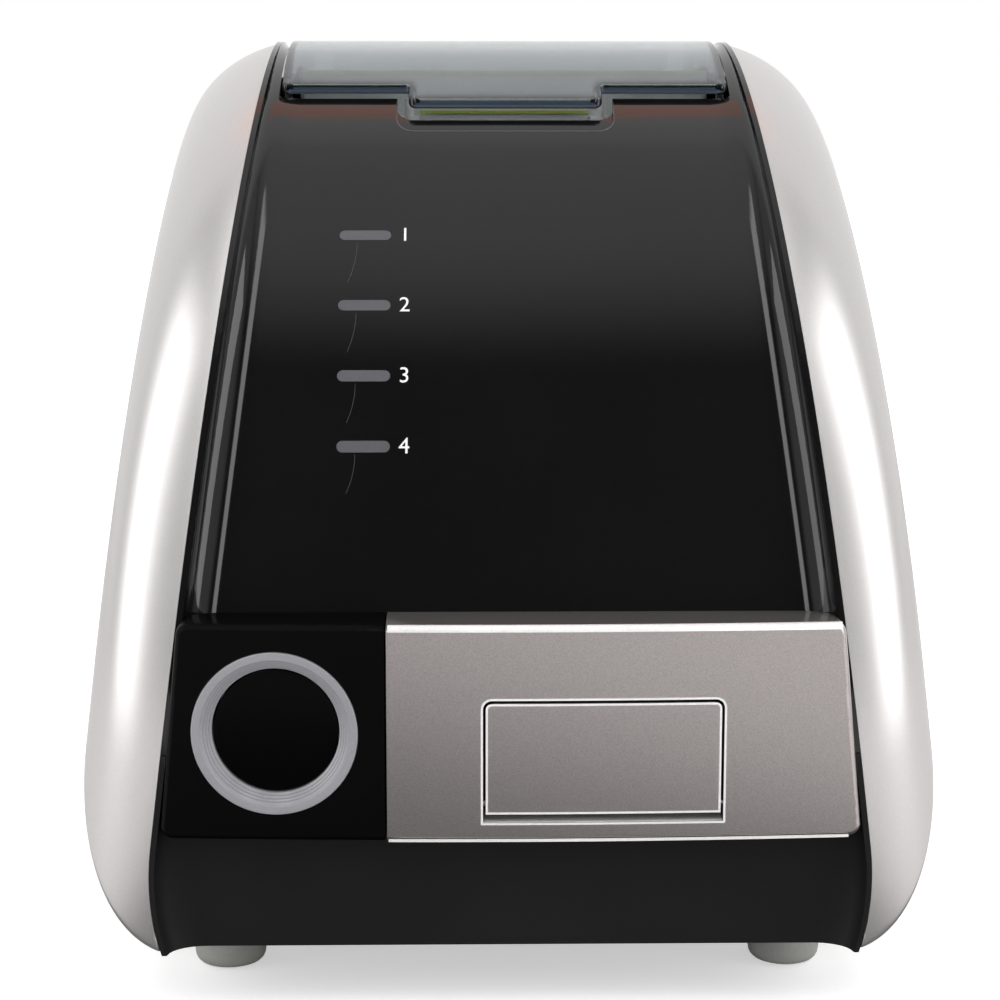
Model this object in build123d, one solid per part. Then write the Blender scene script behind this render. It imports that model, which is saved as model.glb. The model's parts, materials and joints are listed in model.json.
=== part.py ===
# Tabletop scanner for dental imaging plates, as the pieces it comes apart into
# Millimetres, X to the right, Y to the rear, Z up, origin on the table under the middle

import os
from math import atan2, cos, degrees, pi, radians, sin, sqrt, tan

from build123d import *

# Fits shared by all pieces
overrun = 3.0
seat_gap = 0.1
seam_gap = 0.3
slide_gap = 0.2
bearing_gap = 0.05
pick_tolerance = 0.6

# Side view of the shells: a curved front and back that meet at the crest
base_height = 17.0
spring_height = 60.0
rear_spring_height = 118.0
crest_height = 246.0
front_reach = 142.0
rear_reach = 146.5
shell_corner = 5.0

# Front view of the core between the shells, which leans in towards the top
core_lean = 7.25
turn_height = 45.0
turn_half_width = 90.8
foot_half_width = 88.6

# Side shells, rounded like a pillow from the core outwards
shell_depth = 20.8
shell_wall = 2.6
shell_inside = 11.0
front_round = 21.6
crest_round = 22.6
rear_round = 21.6
foot_round = 53.0
boss_radius = 4.5
boss_bore_radius = 1.4
boss_places_share = [(-0.62, 0.30), (0.62, 0.30), (-0.42, 0.70), (0.42, 0.70)]

# Core: a channel between two rims, with a cove up to each rim
core_wall = 2.5
core_gap = 0.15
rim_drop = 0.8
rim_width = 1.4
front_channel = 8.0
rear_channel = 6.0
crest_channel = 3.4
cove_width = 9.5
seam_height = 69.4

# Smoked lid, its opening in the cover and the finger recess below its tab
lid_half_width = 61.1
lid_drop = 0.4
lid_thickness = 2.3
lid_front = 49.6
lid_rear = 47.5
lid_skirt_depth = 5.0
lid_skirt_wall = 2.2
lid_corner = 1.2
tab_half_width = 26.4
tab_front = 56.7
tab_corner = 2.0
lid_side_gap = 0.8
opening_front = 49.5
opening_rear = 53.0
notch_half_width = 29.5
notch_front = 57.1
notch_corner = 4.5
recess_front = 62.9
recess_depth = 1.0
hinge_y = 44.0
hinge_drop = 12.6
hinge_height = crest_height - hinge_drop
hinge_radius = 3.4
hinge_pin_radius = 1.5
hinge_pin_length = 13.0
hinge_ear_width = 5.0
hinge_ear_outer = 57.0
knuckle_width = 5.0
knuckle_gap = 0.6

# Feed deck under the lid
deck_half_width = 57.0
deck_front = 36.0
deck_rear = 36.0
deck_drop = 10.1
deck_depth = 17.9
deck_top = crest_height - deck_drop
deck_bottom = deck_top - deck_depth
deck_wall = 2.4
deck_corner = 2.0
slot_depth = 6.0
post_x = 26.4
post_y = 43.0
post_radius = 1.3
post_drop = 6.3
post_length = 5.0
post_top = deck_top - post_drop
post_foot_height = post_top - post_length
post_foot_depth = 1.6
strip_height = 0.9
strip_thickness = 0.6
low_strip_drop = 10.6
low_strip_bottom = deck_top - low_strip_drop

# Band across the front: button panel and outlet panel
band_bottom = 48.3
band_top = 103.5
band_front = 146.5
band_bow = 3.0
band_bow_half_width = 88.0
band_bottom_half_width = 88.1
band_top_half_width = 82.8
band_split = -31.3
band_split_gap = 0.5
band_wall = 2.5
band_corner = 3.0
band_edge_radius = 2.3

# Outlet door and its opening
outlet_centre = 22.8
outlet_half_width = 30.0
outlet_bottom = 53.3
outlet_top = 84.6
outlet_corner = 2.2
outlet_frame_wall = 2.5
door_side_gap = 0.7
door_top_gap = 0.8
door_bottom_gap = 2.2
door_thickness = 2.4
door_edge_radius = 0.4
door_axis_depth = 3.3
door_axis_rise = 2.0
door_bead_radius = 1.9
door_pin_radius = 0.8
door_pin_length = 6.0

# Power button in its light ring
button_x = -58.9
button_height = 76.0
ring_radius = 20.8
ring_face_radius = 18.4
ring_bore_radius = 15.9
ring_step = 0.5
ring_dish = 3.2
ring_depth = 6.0
ring_flange_radius = 22.6
ring_hole_radius = 21.0
button_radius = 15.6
button_thickness = 2.6
button_crown = 0.5
button_setback = 0.2
switch_hole_radius = 9.0
button_travel = 1.2
stem_radius = 3.0
plunger_radius = 1.5
plunger_length = 3.2
plunger_bore_gap = 0.1
switch_half_width = 4.0
switch_depth = 4.0
board_thickness = 1.2
button_board_width = 36.0
button_board_height = 32.0

# Status lenses
lens_x = -37.2
lens_length = 13.5
lens_height = 3.0
lens_depth = 4.0
lens_count = 4
lens_drop = 50.8
lens_top_height = crest_height - lens_drop
lens_pitch = 17.1
lens_gap = 0.1
status_board_width = 22.0
status_board_margin = 18.0
status_pillar_radius = 2.0
status_pillar_inset = 3.0
status_board_depth = 9.0
status_light_height = 2.6
status_light_length = 5.0
status_light_width = 3.0

# Feet
foot_x = 75.0
foot_y = 97.5
foot_top_radius = 10.6
foot_bottom_radius = 9.4
foot_bottom_round = 4.5
foot_recess_radius = 3.0
foot_recess_depth = 4.0

# Plate path, with a driven and a pinch roller at the top and at the bottom
path_y = -20.0
plate_gap = 0.6
guide_gap = 1.6
guide_thickness = 1.2
guide_bottom = 121.0
guide_window_margin = 1.2
scan_window = 12.0
scan_window_rise = 3.0
frame_thickness = 2.0
frame_front = 42.0
frame_rear = 10.0
frame_corner = 6.0
frame_bottom = 112.0
frame_leg_front = -6.0
feed_roller_height = 200.0
exit_roller_height = 132.0
roller_radius = 7.0
pinch_radius = 5.0
roller_half_length = 28.5
shaft_radius = 3.0
pinch_shaft_radius = 2.0
shaft_end = 1.5
bush_wall = 1.5
bush_flange_wall = 3.0
bush_flange_thickness = 1.0

# Belt drive outside the left frame
pulley_radius = 9.0
motor_pulley_radius = 6.0
pulley_width = 6.0
pulley_flange = 1.8
pulley_flange_thickness = 1.0
pulley_gap = 2.0
tooth_pitch = 2.3
tooth_depth = 0.8
belt_thickness = 1.2
belt_width = 5.4
belt_gap = 0.3
motor_y = 32.0
motor_height = 105.0
motor_side = 35.0
motor_length = 24.0
motor_corner = 5.0
motor_collar_radius = 9.0
motor_shaft_radius = 2.5
motor_plate_margin = 3.0
motor_plate_thickness = 2.0
motor_foot_depth = 14.0
motor_bore_depth = 16.0

# Optics on a bench behind the plate path
bench_height = 148.0
bench_thickness = 3.0
bench_front = 12.0
bench_rear = 112.0
bench_half_width = 34.0
bench_post_radius = 3.5
bench_post_inset = 6.0
scan_height = 165.0
mirror_y = 86.0
mirror_radius = 15.0
mirror_thickness = 6.0
mirror_faces = 6
mirror_bore_radius = 2.5
mirror_motor_radius = 13.0
mirror_motor_gap = 1.0
scan_lens_y = 34.0
scan_lens_width = 52.0
scan_lens_thickness = 8.0
scan_lens_height = 10.0
scan_lens_radius = 90.0
lens_mount_width = 8.0
laser_offset = 22.0
laser_y = 62.0
laser_radius = 6.0
laser_length = 28.0
laser_block_length = 16.0
laser_block_width = 18.0
laser_bore_radius = 6.1
light_guide_slit = 3.0
light_guide_rise = 6.5
light_guide_end_radius = 9.0
light_guide_end_height = 182.0
detector_radius = 13.0
detector_length = 40.0
detector_height = 185.0
detector_flange_height = 34.0
detector_flange_thickness = 2.0
eraser_height = 115.0
eraser_gap = 2.0
eraser_depth = 6.0
eraser_tall = 8.0
eraser_lights = 8
eraser_light_size = 3.0
eraser_light_depth = 0.6

# Outlet chute, from under the rollers down to the outlet
chute_wall = 1.5
chute_knee = 76.0
chute_roof_knee = 54.0
chute_mouth_front = 32.0
chute_mouth_rear = 8.0
chute_top = 105.0

# Chassis, boards and sockets
chassis_thickness = 1.5
chassis_gap = 6.0
board_lift = 5.0
main_board_half_width = 64.0
main_board_front = 56.0
main_board_rear_gap = 8.0
board_post_radius = 3.5
board_post_inset = 7.0
chip_height = 1.8
chips_share = [(-0.55, -0.1, 0.16), (-0.3, 0.45, 0.2), (0.1, -0.55, 0.14), (0.55, -0.3, 0.1)]
power_board_x = -76.0
power_board_front = 20.0
power_board_depth = 64.0
power_board_tall = 46.0
coil_radius = 8.0
coil_length = 12.0
coils_share = [(-0.5, 0.1), (0.1, 0.1), (0.6, -0.2)]
socket_half = 5.5
power_socket_x = 44.0
power_socket_radius = 3.15
power_socket_depth = 14.0
power_socket_bore = 10.0
power_pin_radius = 1.0
power_pin_setback = 4.6
data_socket_x = 16.0
data_socket_half_width = 6.0
data_socket_wall = 1.2
data_socket_depth = 15.0
data_tongue_setback = 5.0
data_tongue_half_width = 2.6
data_tongue_half_height = 1.5
socket_margin = 0.3

# Cooling fan and the slots behind it
fan_x = 0.0
fan_height = 112.0
fan_side = 50.0
fan_depth = 12.0
fan_corner = 4.0
fan_bore_radius = 23.5
fan_hub_radius = 9.0
fan_hub_depth = 8.0
fan_blades = 7
fan_blade_thickness = 1.2
fan_blade_turn = 35.0
fan_tip_gap = 1.0
fan_spindle_radius = 1.5
fan_arm_width = 4.0
fan_arm_depth = 1.6
vent_rows = 9
vent_pitch = 6.0
vent_width = 2.6
vent_length = 46.0
side_vent_rows = 6
side_vent_x = 52.0
side_vent_length = 26.0

# Screws under the base
screw_x = 55.0
screw_y = 100.0
screw_radius = 1.5
screw_head_radius = 3.0
screw_head_height = 2.0
screw_length = 9.0
screw_slot_width = 0.9
screw_slot_depth = 0.8

lean = radians(core_lean)
reach_limit = 2 * rear_reach
path_x = outlet_centre
frame_inner_half = outlet_half_width + chute_wall + slide_gap
floor_front = front_reach - front_channel
floor_rear = rear_reach - rear_channel
floor_crest = crest_height - crest_channel


# Curves that every piece is cut to

def curve_height(distance, reach, crest, spring):
    return spring + (crest - spring) * sqrt(max(0, 1 - (distance / reach) ** 2))


def curve_reach(height, reach, crest, spring):
    if height <= spring:
        return reach
    return reach * sqrt(1 - ((height - spring) / (crest - spring)) ** 2)


def floor_height(y):
    if y < 0:
        return curve_height(-y, floor_front, floor_crest, spring_height)
    return curve_height(y, floor_rear, floor_crest, rear_spring_height)


def floor_front_y(height):
    return -curve_reach(height, floor_front, floor_crest, spring_height)


def core_half_width(height):
    return turn_half_width - (height - turn_height) * tan(lean)


def bow_radius():
    return (band_bow_half_width ** 2 + band_bow ** 2) / (2 * band_bow)


def bow_y(x):
    radius = bow_radius()
    return radius - band_front - sqrt(radius ** 2 - x ** 2)


# Building blocks

def side_face(front, rear, crest, floor, spring=spring_height, rear_spring=rear_spring_height):
    return make_face(
        [
            Line((-front, floor), (-front, spring)),
            EllipticalCenterArc((0, spring), front, crest - spring, 90, arc_size=90),
            EllipticalCenterArc((0, rear_spring), rear, crest - rear_spring, 0, arc_size=90),
            Line((rear, rear_spring), (rear, floor)),
            Line((rear, floor), (-front, floor)),
        ]
    )


def side_block(front, rear, crest, floor):
    return extrude(Plane.YZ * side_face(front, rear, crest, floor), amount=reach_limit, both=True)


def core_face(inset):
    top = crest_height + overrun
    turn_x = turn_half_width - inset
    foot_x_inside = foot_half_width - inset
    top_x = core_half_width(top) - inset
    turn_right = (turn_x, turn_height)
    turn_left = (-turn_x, turn_height)
    foot_right = (foot_x_inside, base_height)
    foot_left = (-foot_x_inside, base_height)
    return make_face(
        [
            TangentArc(turn_right, foot_right, tangent=(sin(lean), -cos(lean))),
            Line(turn_right, (top_x, top)),
            Line((top_x, top), (-top_x, top)),
            Line((-top_x, top), turn_left),
            TangentArc(turn_left, foot_left, tangent=(-sin(lean), -cos(lean))),
            Line(foot_left, foot_right),
        ]
    )


def core_prism(inset):
    return extrude(Plane.XZ * core_face(inset), amount=reach_limit, both=True)


def floor_block(inset, floor):
    return side_block(floor_front - inset, floor_rear - inset, floor_crest - inset, floor)


def box_between(low, high):
    size = [b - a for a, b in zip(low, high)]
    centre = [(a + b) / 2 for a, b in zip(low, high)]
    return Pos(*centre) * Box(*size)


def rod_x(radius, start, end, y, z):
    return Pos((start + end) / 2, y, z) * Rot(0, 90, 0) * Cylinder(radius, abs(end - start))


def rod_y(radius, start, end, x, z):
    return Pos(x, (start + end) / 2, z) * Rot(90, 0, 0) * Cylinder(radius, abs(end - start))


def rod_z(radius, start, end, x, y):
    return Pos(x, y, (start + end) / 2) * Cylinder(radius, abs(end - start))


def tube_x(radius, bore, start, end, y, z):
    return rod_x(radius, start, end, y, z) - rod_x(bore, start, end, y, z)


def join(shapes):
    return Compound(children=[solid for shape in shapes for solid in shape.solids()])


# Side shells

def lean_plane(offset):
    origin = (core_half_width(0) + offset / cos(lean), 0, 0)
    return Plane(origin=origin, x_dir=(0, 1, 0), z_dir=(cos(lean), 0, sin(lean)))


def shell_station(offset, round_share, wall):
    face = side_face(
        front_reach - wall - (front_round - wall) * round_share,
        rear_reach - wall - (rear_round - wall) * round_share,
        (crest_height - wall - (crest_round - wall) * round_share) / cos(lean),
        (base_height + wall + (foot_round - wall) * round_share) / cos(lean),
        (spring_height + foot_round * round_share / 2) / cos(lean),
        rear_spring_height / cos(lean),
    )
    corners = face.vertices().sort_by(Axis.Y)[:2]
    return lean_plane(offset) * fillet(corners, shell_corner)


def shell_pillow(wall):
    depth = shell_inside + shell_depth - wall
    steps = 6
    stations = []
    for step in range(steps + 1):
        angle = radians(90 * step / steps)
        offset = depth * sin(angle) - shell_inside
        stations.append(shell_station(offset, 1 - cos(angle), wall))
    return loft(stations)


def shell_bosses(pillow):
    bosses = []
    height = crest_height - base_height
    for across, up in boss_places_share:
        place = lean_plane(0) * Pos(across * rear_reach, base_height + up * height, 0)
        post = place * Cylinder(boss_radius, 2 * shell_depth)
        bore = place * Cylinder(boss_bore_radius, shell_depth)
        bosses.append((post & pillow) - bore)
    return bosses


def right_side_shell():
    pillow = shell_pillow(0)
    cavity = shell_pillow(shell_wall)
    opening = extrude(shell_station(-shell_inside, 0, shell_wall), amount=-overrun)
    shell = pillow - cavity - opening
    for boss in shell_bosses(pillow):
        shell += boss
    below = box_between((0, -reach_limit, 0), (foot_half_width, reach_limit, base_height))
    return shell - core_prism(0) - below


# Core covers

def lean_prism(inset):
    low = -overrun
    high = crest_height + overrun
    ends = [core_half_width(z) - inset / cos(lean) for z in (low, high)]
    face = make_face(
        Polyline(
            (-ends[0], low), (ends[0], low), (ends[1], high), (-ends[1], high), close=True
        )
    )
    return extrude(Plane.XZ * face, amount=reach_limit, both=True)


def channel_station(offset, level):
    depth_left = 1 - level
    face = side_face(
        front_reach - rim_drop - (front_channel - rim_drop) * depth_left,
        rear_reach - rim_drop - (rear_channel - rim_drop) * depth_left,
        (crest_height - rim_drop - (crest_channel - rim_drop) * depth_left) / cos(lean),
        base_height / cos(lean),
        spring_height / cos(lean),
        rear_spring_height / cos(lean),
    )
    return lean_plane(-offset) * face


def channel_side():
    start = core_gap + rim_width
    rim = channel_station(start, 1)
    steps = 4
    stations = []
    for step in range(steps + 1):
        angle = radians(90 * step / steps)
        stations.append(channel_station(start + cove_width * (1 - cos(angle)), 1 - sin(angle)))
    return loft(stations) + extrude(rim, amount=start + overrun)


def core_solid():
    side = channel_side()
    middle = lean_prism(core_gap + rim_width + cove_width) & floor_block(0, base_height)
    return (middle + side + mirror(side, about=Plane.YZ)) & core_prism(core_gap)


def core_skin(core):
    cavity = core_prism(core_gap + core_wall) & floor_block(core_wall, base_height + core_wall)
    skin = core - cavity
    return skin - rod_y(switch_hole_radius, -floor_front - overrun, -frame_front, button_x, button_height)


def lid_opening():
    top = crest_height + overrun
    bottom = deck_bottom
    half = lid_half_width + lid_side_gap
    main = box_between((-half, -opening_front, bottom), (half, opening_rear, top))
    notch_rear = -opening_front + overrun
    notch = box_between(
        (-notch_half_width, -notch_front, bottom), (notch_half_width, notch_rear, top)
    )
    front_corners = notch.edges().filter_by(Axis.Z).sort_by(Axis.Y)[:2]
    return main + fillet(front_corners, notch_corner)


def lid_clearance():
    grown = offset(lid_plan(), lid_side_gap)
    return extrude(grown, amount=crest_height + overrun) - floor_block(0, base_height)


def finger_recess():
    block = box_between(
        (-notch_half_width, -recess_front, deck_bottom),
        (notch_half_width, -opening_front, crest_height),
    )
    corners = block.edges().filter_by(Axis.Z).sort_by(Axis.Y)[:2]
    return fillet(corners, notch_corner) - floor_block(recess_depth, base_height)


def outlet_outline(grow):
    sketch = Rectangle(2 * (outlet_half_width + grow), outlet_top - outlet_bottom + 2 * grow)
    centre = (outlet_top + outlet_bottom) / 2
    upper = sketch.vertices().sort_by(Axis.Y)[2:]
    return Plane.XZ * Pos(outlet_centre, centre) * fillet(upper, outlet_corner + grow)


def outlet_hole():
    return extrude(outlet_outline(0), amount=reach_limit)


def chute_hole():
    grow = chute_wall + seam_gap
    half = outlet_half_width + grow
    return box_between(
        (outlet_centre - half, -reach_limit, outlet_bottom - grow),
        (outlet_centre + half, -frame_front, outlet_top + grow),
    )


def lens_plane(index):
    height = lens_top_height - index * lens_pitch
    y = floor_front_y(height)
    rise = floor_crest - spring_height
    normal = Vector(0, y / floor_front ** 2, (height - spring_height) / rise ** 2).normalized()
    return Plane(origin=(lens_x, y, height), x_dir=(1, 0, 0), z_dir=normal)


def lens_prism(index, grow):
    shape = SlotOverall(lens_length + 2 * grow, lens_height + 2 * grow)
    return extrude(lens_plane(index) * shape, amount=lens_depth + overrun, both=True)


def front_cover(skin):
    keep = box_between(
        (-reach_limit, -reach_limit, seam_height + seam_gap / 2),
        (reach_limit, opening_rear - seam_gap, crest_height + overrun),
    )
    cover = skin & keep
    cover -= lid_opening()
    cover -= lid_clearance()
    cover -= finger_recess()
    cover -= chute_hole()
    for index in range(lens_count):
        cover -= lens_prism(index, lens_gap)
    return cover + status_pillars()


def vent_slots():
    slots = []
    for index in range(vent_rows):
        rise = (index - (vent_rows - 1) / 2) * vent_pitch
        slots.append((fan_x, fan_height + rise, vent_length))
    for index in range(side_vent_rows):
        rise = (index - (side_vent_rows - 1) / 2) * vent_pitch
        slots.append((side_vent_x, fan_height + rise, side_vent_length))
        slots.append((-side_vent_x, fan_height + rise, side_vent_length))
    return slots


def rear_cover(skin):
    keep = box_between(
        (-reach_limit, opening_rear, seam_height + seam_gap / 2),
        (reach_limit, reach_limit, crest_height + overrun),
    )
    cover = (skin & keep) - lid_clearance()
    for x, z, length in vent_slots():
        slot = extrude(Plane.XZ * Pos(x, z) * SlotOverall(length, vent_width), amount=-reach_limit)
        cover -= slot
    return cover


def socket_height():
    return main_board_top() + socket_half


def socket_holes():
    rear = floor_rear + overrun
    front = floor_rear - core_wall - overrun
    holes = []
    for x, half in ((power_socket_x, socket_half), (data_socket_x, data_socket_half_width)):
        wide = half + socket_margin
        tall = socket_half + socket_margin
        holes.append(
            box_between(
                (x - wide, front, socket_height() - tall), (x + wide, rear, socket_height() + tall)
            )
        )
    return holes


def corner_places(x, y):
    return [(-x, -y), (x, -y), (-x, y), (x, y)]


def base_pan(skin):
    keep = box_between(
        (-reach_limit, -reach_limit, 0), (reach_limit, reach_limit, seam_height - seam_gap / 2)
    )
    pan = skin & keep
    pan -= chute_hole()
    for hole in socket_holes():
        pan -= hole
    for x, y in corner_places(screw_x, screw_y):
        pan += rod_z(boss_radius, base_height + core_wall / 2, chassis_bottom(), x, y)
        pan -= rod_z(screw_head_radius + slide_gap, 0, base_height + screw_head_height, x, y)
        pan -= rod_z(screw_radius + seat_gap, base_height, chassis_bottom() + overrun, x, y)
    return pan


def chassis_bottom():
    return base_height + core_wall + chassis_gap


def housing_screws():
    screws = []
    for x, y in corner_places(screw_x, screw_y):
        head_bottom = base_height
        head_top = base_height + screw_head_height
        screw = rod_z(screw_head_radius, head_bottom, head_top, x, y)
        screw += rod_z(screw_radius, head_top, head_top + screw_length, x, y)
        slot = box_between(
            (x - screw_head_radius, y - screw_slot_width / 2, head_bottom - overrun),
            (x + screw_head_radius, y + screw_slot_width / 2, head_bottom + screw_slot_depth),
        )
        screws.append(screw - slot)
    return join(screws)


def chassis_plate():
    bottom = chassis_bottom()
    half = foot_half_width - core_gap - 2 * core_wall - seam_gap
    front = floor_front - 2 * core_wall
    rear = floor_rear - 2 * core_wall
    plate = box_between((-half, -front, bottom), (half, rear, bottom + chassis_thickness))
    plate = fillet(plate.edges().filter_by(Axis.Z), foot_top_radius)
    for x, y in corner_places(screw_x, screw_y):
        plate -= rod_z(screw_radius + seat_gap, bottom - overrun, bottom + overrun, x, y)
    return plate


def rubber_feet():
    profile = make_face(
        Polyline(
            (foot_recess_radius, 0),
            (foot_bottom_radius, 0),
            (foot_top_radius, base_height),
            (0, base_height),
            (0, foot_recess_depth),
            (foot_recess_radius, foot_recess_depth),
            close=True,
        )
    )
    rim = profile.vertices().sort_by(Axis.Y)[:2].sort_by(Axis.X)[-1]
    foot = revolve(Plane.XZ * fillet(rim, foot_bottom_round), axis=Axis.Z)
    return join([Pos(x, y, 0) * foot for x, y in corner_places(foot_x, foot_y)])


# Lid and feed deck

def lid_skin(inset):
    return side_block(
        front_reach - lid_drop - inset,
        rear_reach - lid_drop - inset,
        crest_height - lid_drop - inset,
        base_height,
    )


def lid_plan():
    sheet = Pos(0, (lid_rear - lid_front) / 2) * Rectangle(2 * lid_half_width, lid_front + lid_rear)
    tab = Pos(0, -tab_front / 2) * Rectangle(2 * tab_half_width, tab_front)
    outline = sheet + tab
    outline = fillet(outline.vertices().sort_by(Axis.Y)[:2], tab_corner)
    sheet_front = [v for v in outline.vertices() if abs(v.Y + lid_front) < pick_tolerance]
    outer = [v for v in sheet_front if abs(v.X) > tab_half_width + overrun]
    return fillet(outer, lid_corner)


def lid():
    column = extrude(lid_plan(), amount=crest_height + overrun)
    sheet = (column & lid_skin(0)) - lid_skin(lid_thickness)
    inner = lid_half_width - lid_skirt_wall
    front = -lid_front + lid_corner
    rear = hinge_y - hinge_radius - overrun
    for side in (-1, 1):
        low = min(side * inner, side * lid_half_width)
        high = max(side * inner, side * lid_half_width)
        skirt = box_between((low, front, base_height), (high, rear, crest_height))
        skirt = (skirt & lid_skin(lid_thickness / 2)) - lid_skin(lid_skirt_depth + lid_thickness)
        sheet += skirt
        knuckle_outer = hinge_ear_outer - hinge_ear_width - knuckle_gap
        near = side * (knuckle_outer - knuckle_width)
        far = side * knuckle_outer
        arm = box_between(
            (min(near, far), hinge_y - hinge_radius, hinge_height),
            (max(near, far), hinge_y + hinge_radius, crest_height),
        )
        sheet += arm & lid_skin(lid_thickness / 2)
        sheet += rod_x(hinge_radius, near, far, hinge_y, hinge_height)
        bore = hinge_pin_radius + bearing_gap
        sheet -= rod_x(bore, near - side * overrun, far + side * overrun, hinge_y, hinge_height)
    return sheet


def lid_hinge_pins():
    pins = []
    for side in (-1, 1):
        outer = side * hinge_ear_outer
        pins.append(
            rod_x(hinge_pin_radius, outer, outer - side * hinge_pin_length, hinge_y, hinge_height)
        )
    return join(pins)


def feed_deck():
    block = box_between(
        (-deck_half_width, -deck_front, deck_bottom), (deck_half_width, deck_rear, deck_top)
    )
    block = fillet(block.edges().filter_by(Axis.Z), deck_corner)
    hollow = box_between(
        (-deck_half_width + deck_wall, -deck_front + deck_wall, deck_bottom - overrun),
        (deck_half_width - deck_wall, deck_rear - deck_wall, deck_top - deck_wall),
    )
    deck = block - hollow
    slot_half = outlet_half_width
    slot = box_between(
        (path_x - slot_half, path_y - slot_depth / 2, deck_top - deck_wall - overrun),
        (path_x + slot_half, path_y + slot_depth / 2, deck_top + overrun),
    )
    deck -= slot
    rim = [e for e in deck.edges().group_by(Axis.Z)[-1] if e.length < 2 * slot_half + overrun]
    rim = [e for e in rim if abs((e @ 0.5).Y - path_y) <= slot_depth / 2 + seat_gap]
    deck = chamfer(rim, deck_wall / 2)
    for x in (-post_x, post_x):
        post = rod_z(post_radius, post_foot_height, post_top, x, -post_y)
        foot = box_between(
            (x - 2 * post_radius, -post_y - post_radius, post_foot_height - post_foot_depth),
            (x + 2 * post_radius, -deck_front + deck_wall / 2, post_foot_height),
        )
        deck += post + foot
    for side in (-1, 1):
        near = side * (hinge_ear_outer - hinge_ear_width)
        far = side * hinge_ear_outer
        ear = box_between(
            (min(near, far), deck_rear - deck_wall, hinge_height - hinge_radius),
            (max(near, far), hinge_y, hinge_height + hinge_radius),
        )
        ear += rod_x(hinge_radius, near, far, hinge_y, hinge_height)
        ear = ear & lid_skin(lid_thickness + slide_gap)
        deck += ear
        deck -= rod_x(hinge_pin_radius, near, far, hinge_y, hinge_height)
    return deck


def guide_strips():
    front = -deck_front
    half = deck_half_width - deck_corner
    upper = box_between(
        (-half, front - strip_thickness, deck_top - strip_height), (half, front, deck_top)
    )
    low_half = post_x - 2 * post_radius - seam_gap
    lower = box_between(
        (-low_half, front - strip_thickness, low_strip_bottom),
        (low_half, front, low_strip_bottom + strip_height),
    )
    return join([upper, lower])


# Band panels, door, ring and button

def bow_block(setback):
    radius = bow_radius()
    centre_y = radius - band_front + setback
    return Pos(0, centre_y, (band_bottom + band_top) / 2) * Cylinder(
        radius, band_top - band_bottom + 2 * overrun
    )


def band_half_width(height):
    share = (height - band_bottom) / (band_top - band_bottom)
    return band_bottom_half_width + (band_top_half_width - band_bottom_half_width) * share


def panel_face(left, right, inset):
    bottom = band_bottom + inset
    top = band_top - inset
    ends = {}
    for name, side, end in (("left", -1, left), ("right", 1, right)):
        if end is None:
            ends[name] = [side * (band_half_width(z) - inset) for z in (bottom, top)]
        else:
            ends[name] = [end - side * inset, end - side * inset]
    face = make_face(
        Polyline(
            (ends["left"][0], bottom),
            (ends["right"][0], bottom),
            (ends["right"][1], top),
            (ends["left"][1], top),
            close=True,
        )
    )
    outer = -1 if left is None else 1
    corners = [v for v in face.vertices() if v.X * outer > band_top_half_width - 2 * overrun]
    return Plane.XZ * fillet(corners, band_corner - min(inset, band_corner / 2))


def panel_block(left, right, inset, setback, core):
    column = extrude(panel_face(left, right, inset), amount=reach_limit)
    return (column & bow_block(setback)) - core


def panel(left, right, split_end, core):
    block = panel_block(left, right, 0, 0, core)
    front_edges = []
    split_edges = []
    for edge in block.edges():
        middle = edge @ 0.5
        if abs(middle.Y - bow_y(middle.X)) > pick_tolerance:
            continue
        if abs(middle.X - split_end) < pick_tolerance:
            split_edges.append(edge)
        else:
            front_edges.append(edge)
    block = fillet(front_edges, band_edge_radius)
    return block - panel_block(left, right, band_wall, band_wall, core)


def button_panel(core):
    end = band_split - band_split_gap / 2
    block = panel(None, end, end, core)
    hole = button_plane() * Cylinder(ring_hole_radius, 2 * ring_depth)
    return block - hole


def outlet_panel(core):
    end = band_split + band_split_gap / 2
    block = panel(end, None, end, core)
    frame = extrude(outlet_outline(outlet_frame_wall), amount=reach_limit)
    frame = (frame & bow_block(band_wall / 2)) - floor_block(-seat_gap, 0)
    block += frame
    block -= outlet_hole()
    y, z = door_axis()
    return block - rod_x(
        door_pin_radius,
        outlet_centre - outlet_half_width - door_pin_length / 2,
        outlet_centre + outlet_half_width + door_pin_length / 2,
        y,
        z,
    )


def door_axis():
    return -band_front + door_axis_depth, outlet_bottom + door_bottom_gap + door_axis_rise


def door_half_width():
    return outlet_half_width - door_side_gap


def outlet_door():
    bottom = outlet_bottom + door_bottom_gap
    top = outlet_top - door_top_gap
    half = door_half_width()
    sketch = Rectangle(2 * half, top - bottom)
    upper = sketch.vertices().sort_by(Axis.Y)[2:]
    outline = Plane.XZ * Pos(outlet_centre, (top + bottom) / 2) * fillet(upper, outlet_corner)
    column = extrude(outline, amount=reach_limit)
    door = (column & bow_block(0)) - bow_block(door_thickness)
    rim = [e for e in door.edges() if abs((e @ 0.5).Y - bow_y((e @ 0.5).X)) < pick_tolerance / 2]
    door = fillet(rim, door_edge_radius)
    y, z = door_axis()
    left = outlet_centre - half
    right = outlet_centre + half
    door += rod_x(door_bead_radius, left, right, y, z)
    bore = door_pin_radius + bearing_gap
    return door - rod_x(bore, left - overrun, right + overrun, y, z)


def door_hinge_pins():
    y, z = door_axis()
    pins = []
    for side in (-1, 1):
        wall = outlet_centre + side * outlet_half_width
        half = side * door_pin_length / 2
        pins.append(rod_x(door_pin_radius, wall - half, wall + half, y, z))
    return join(pins)


def button_plane():
    radius = bow_radius()
    normal = Vector(button_x, bow_y(button_x) - (radius - band_front), 0).normalized()
    x_dir = Vector(-normal.Y, normal.X, 0)
    origin = (button_x, bow_y(button_x), button_height)
    return Plane(origin=origin, x_dir=x_dir, z_dir=normal)


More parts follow.
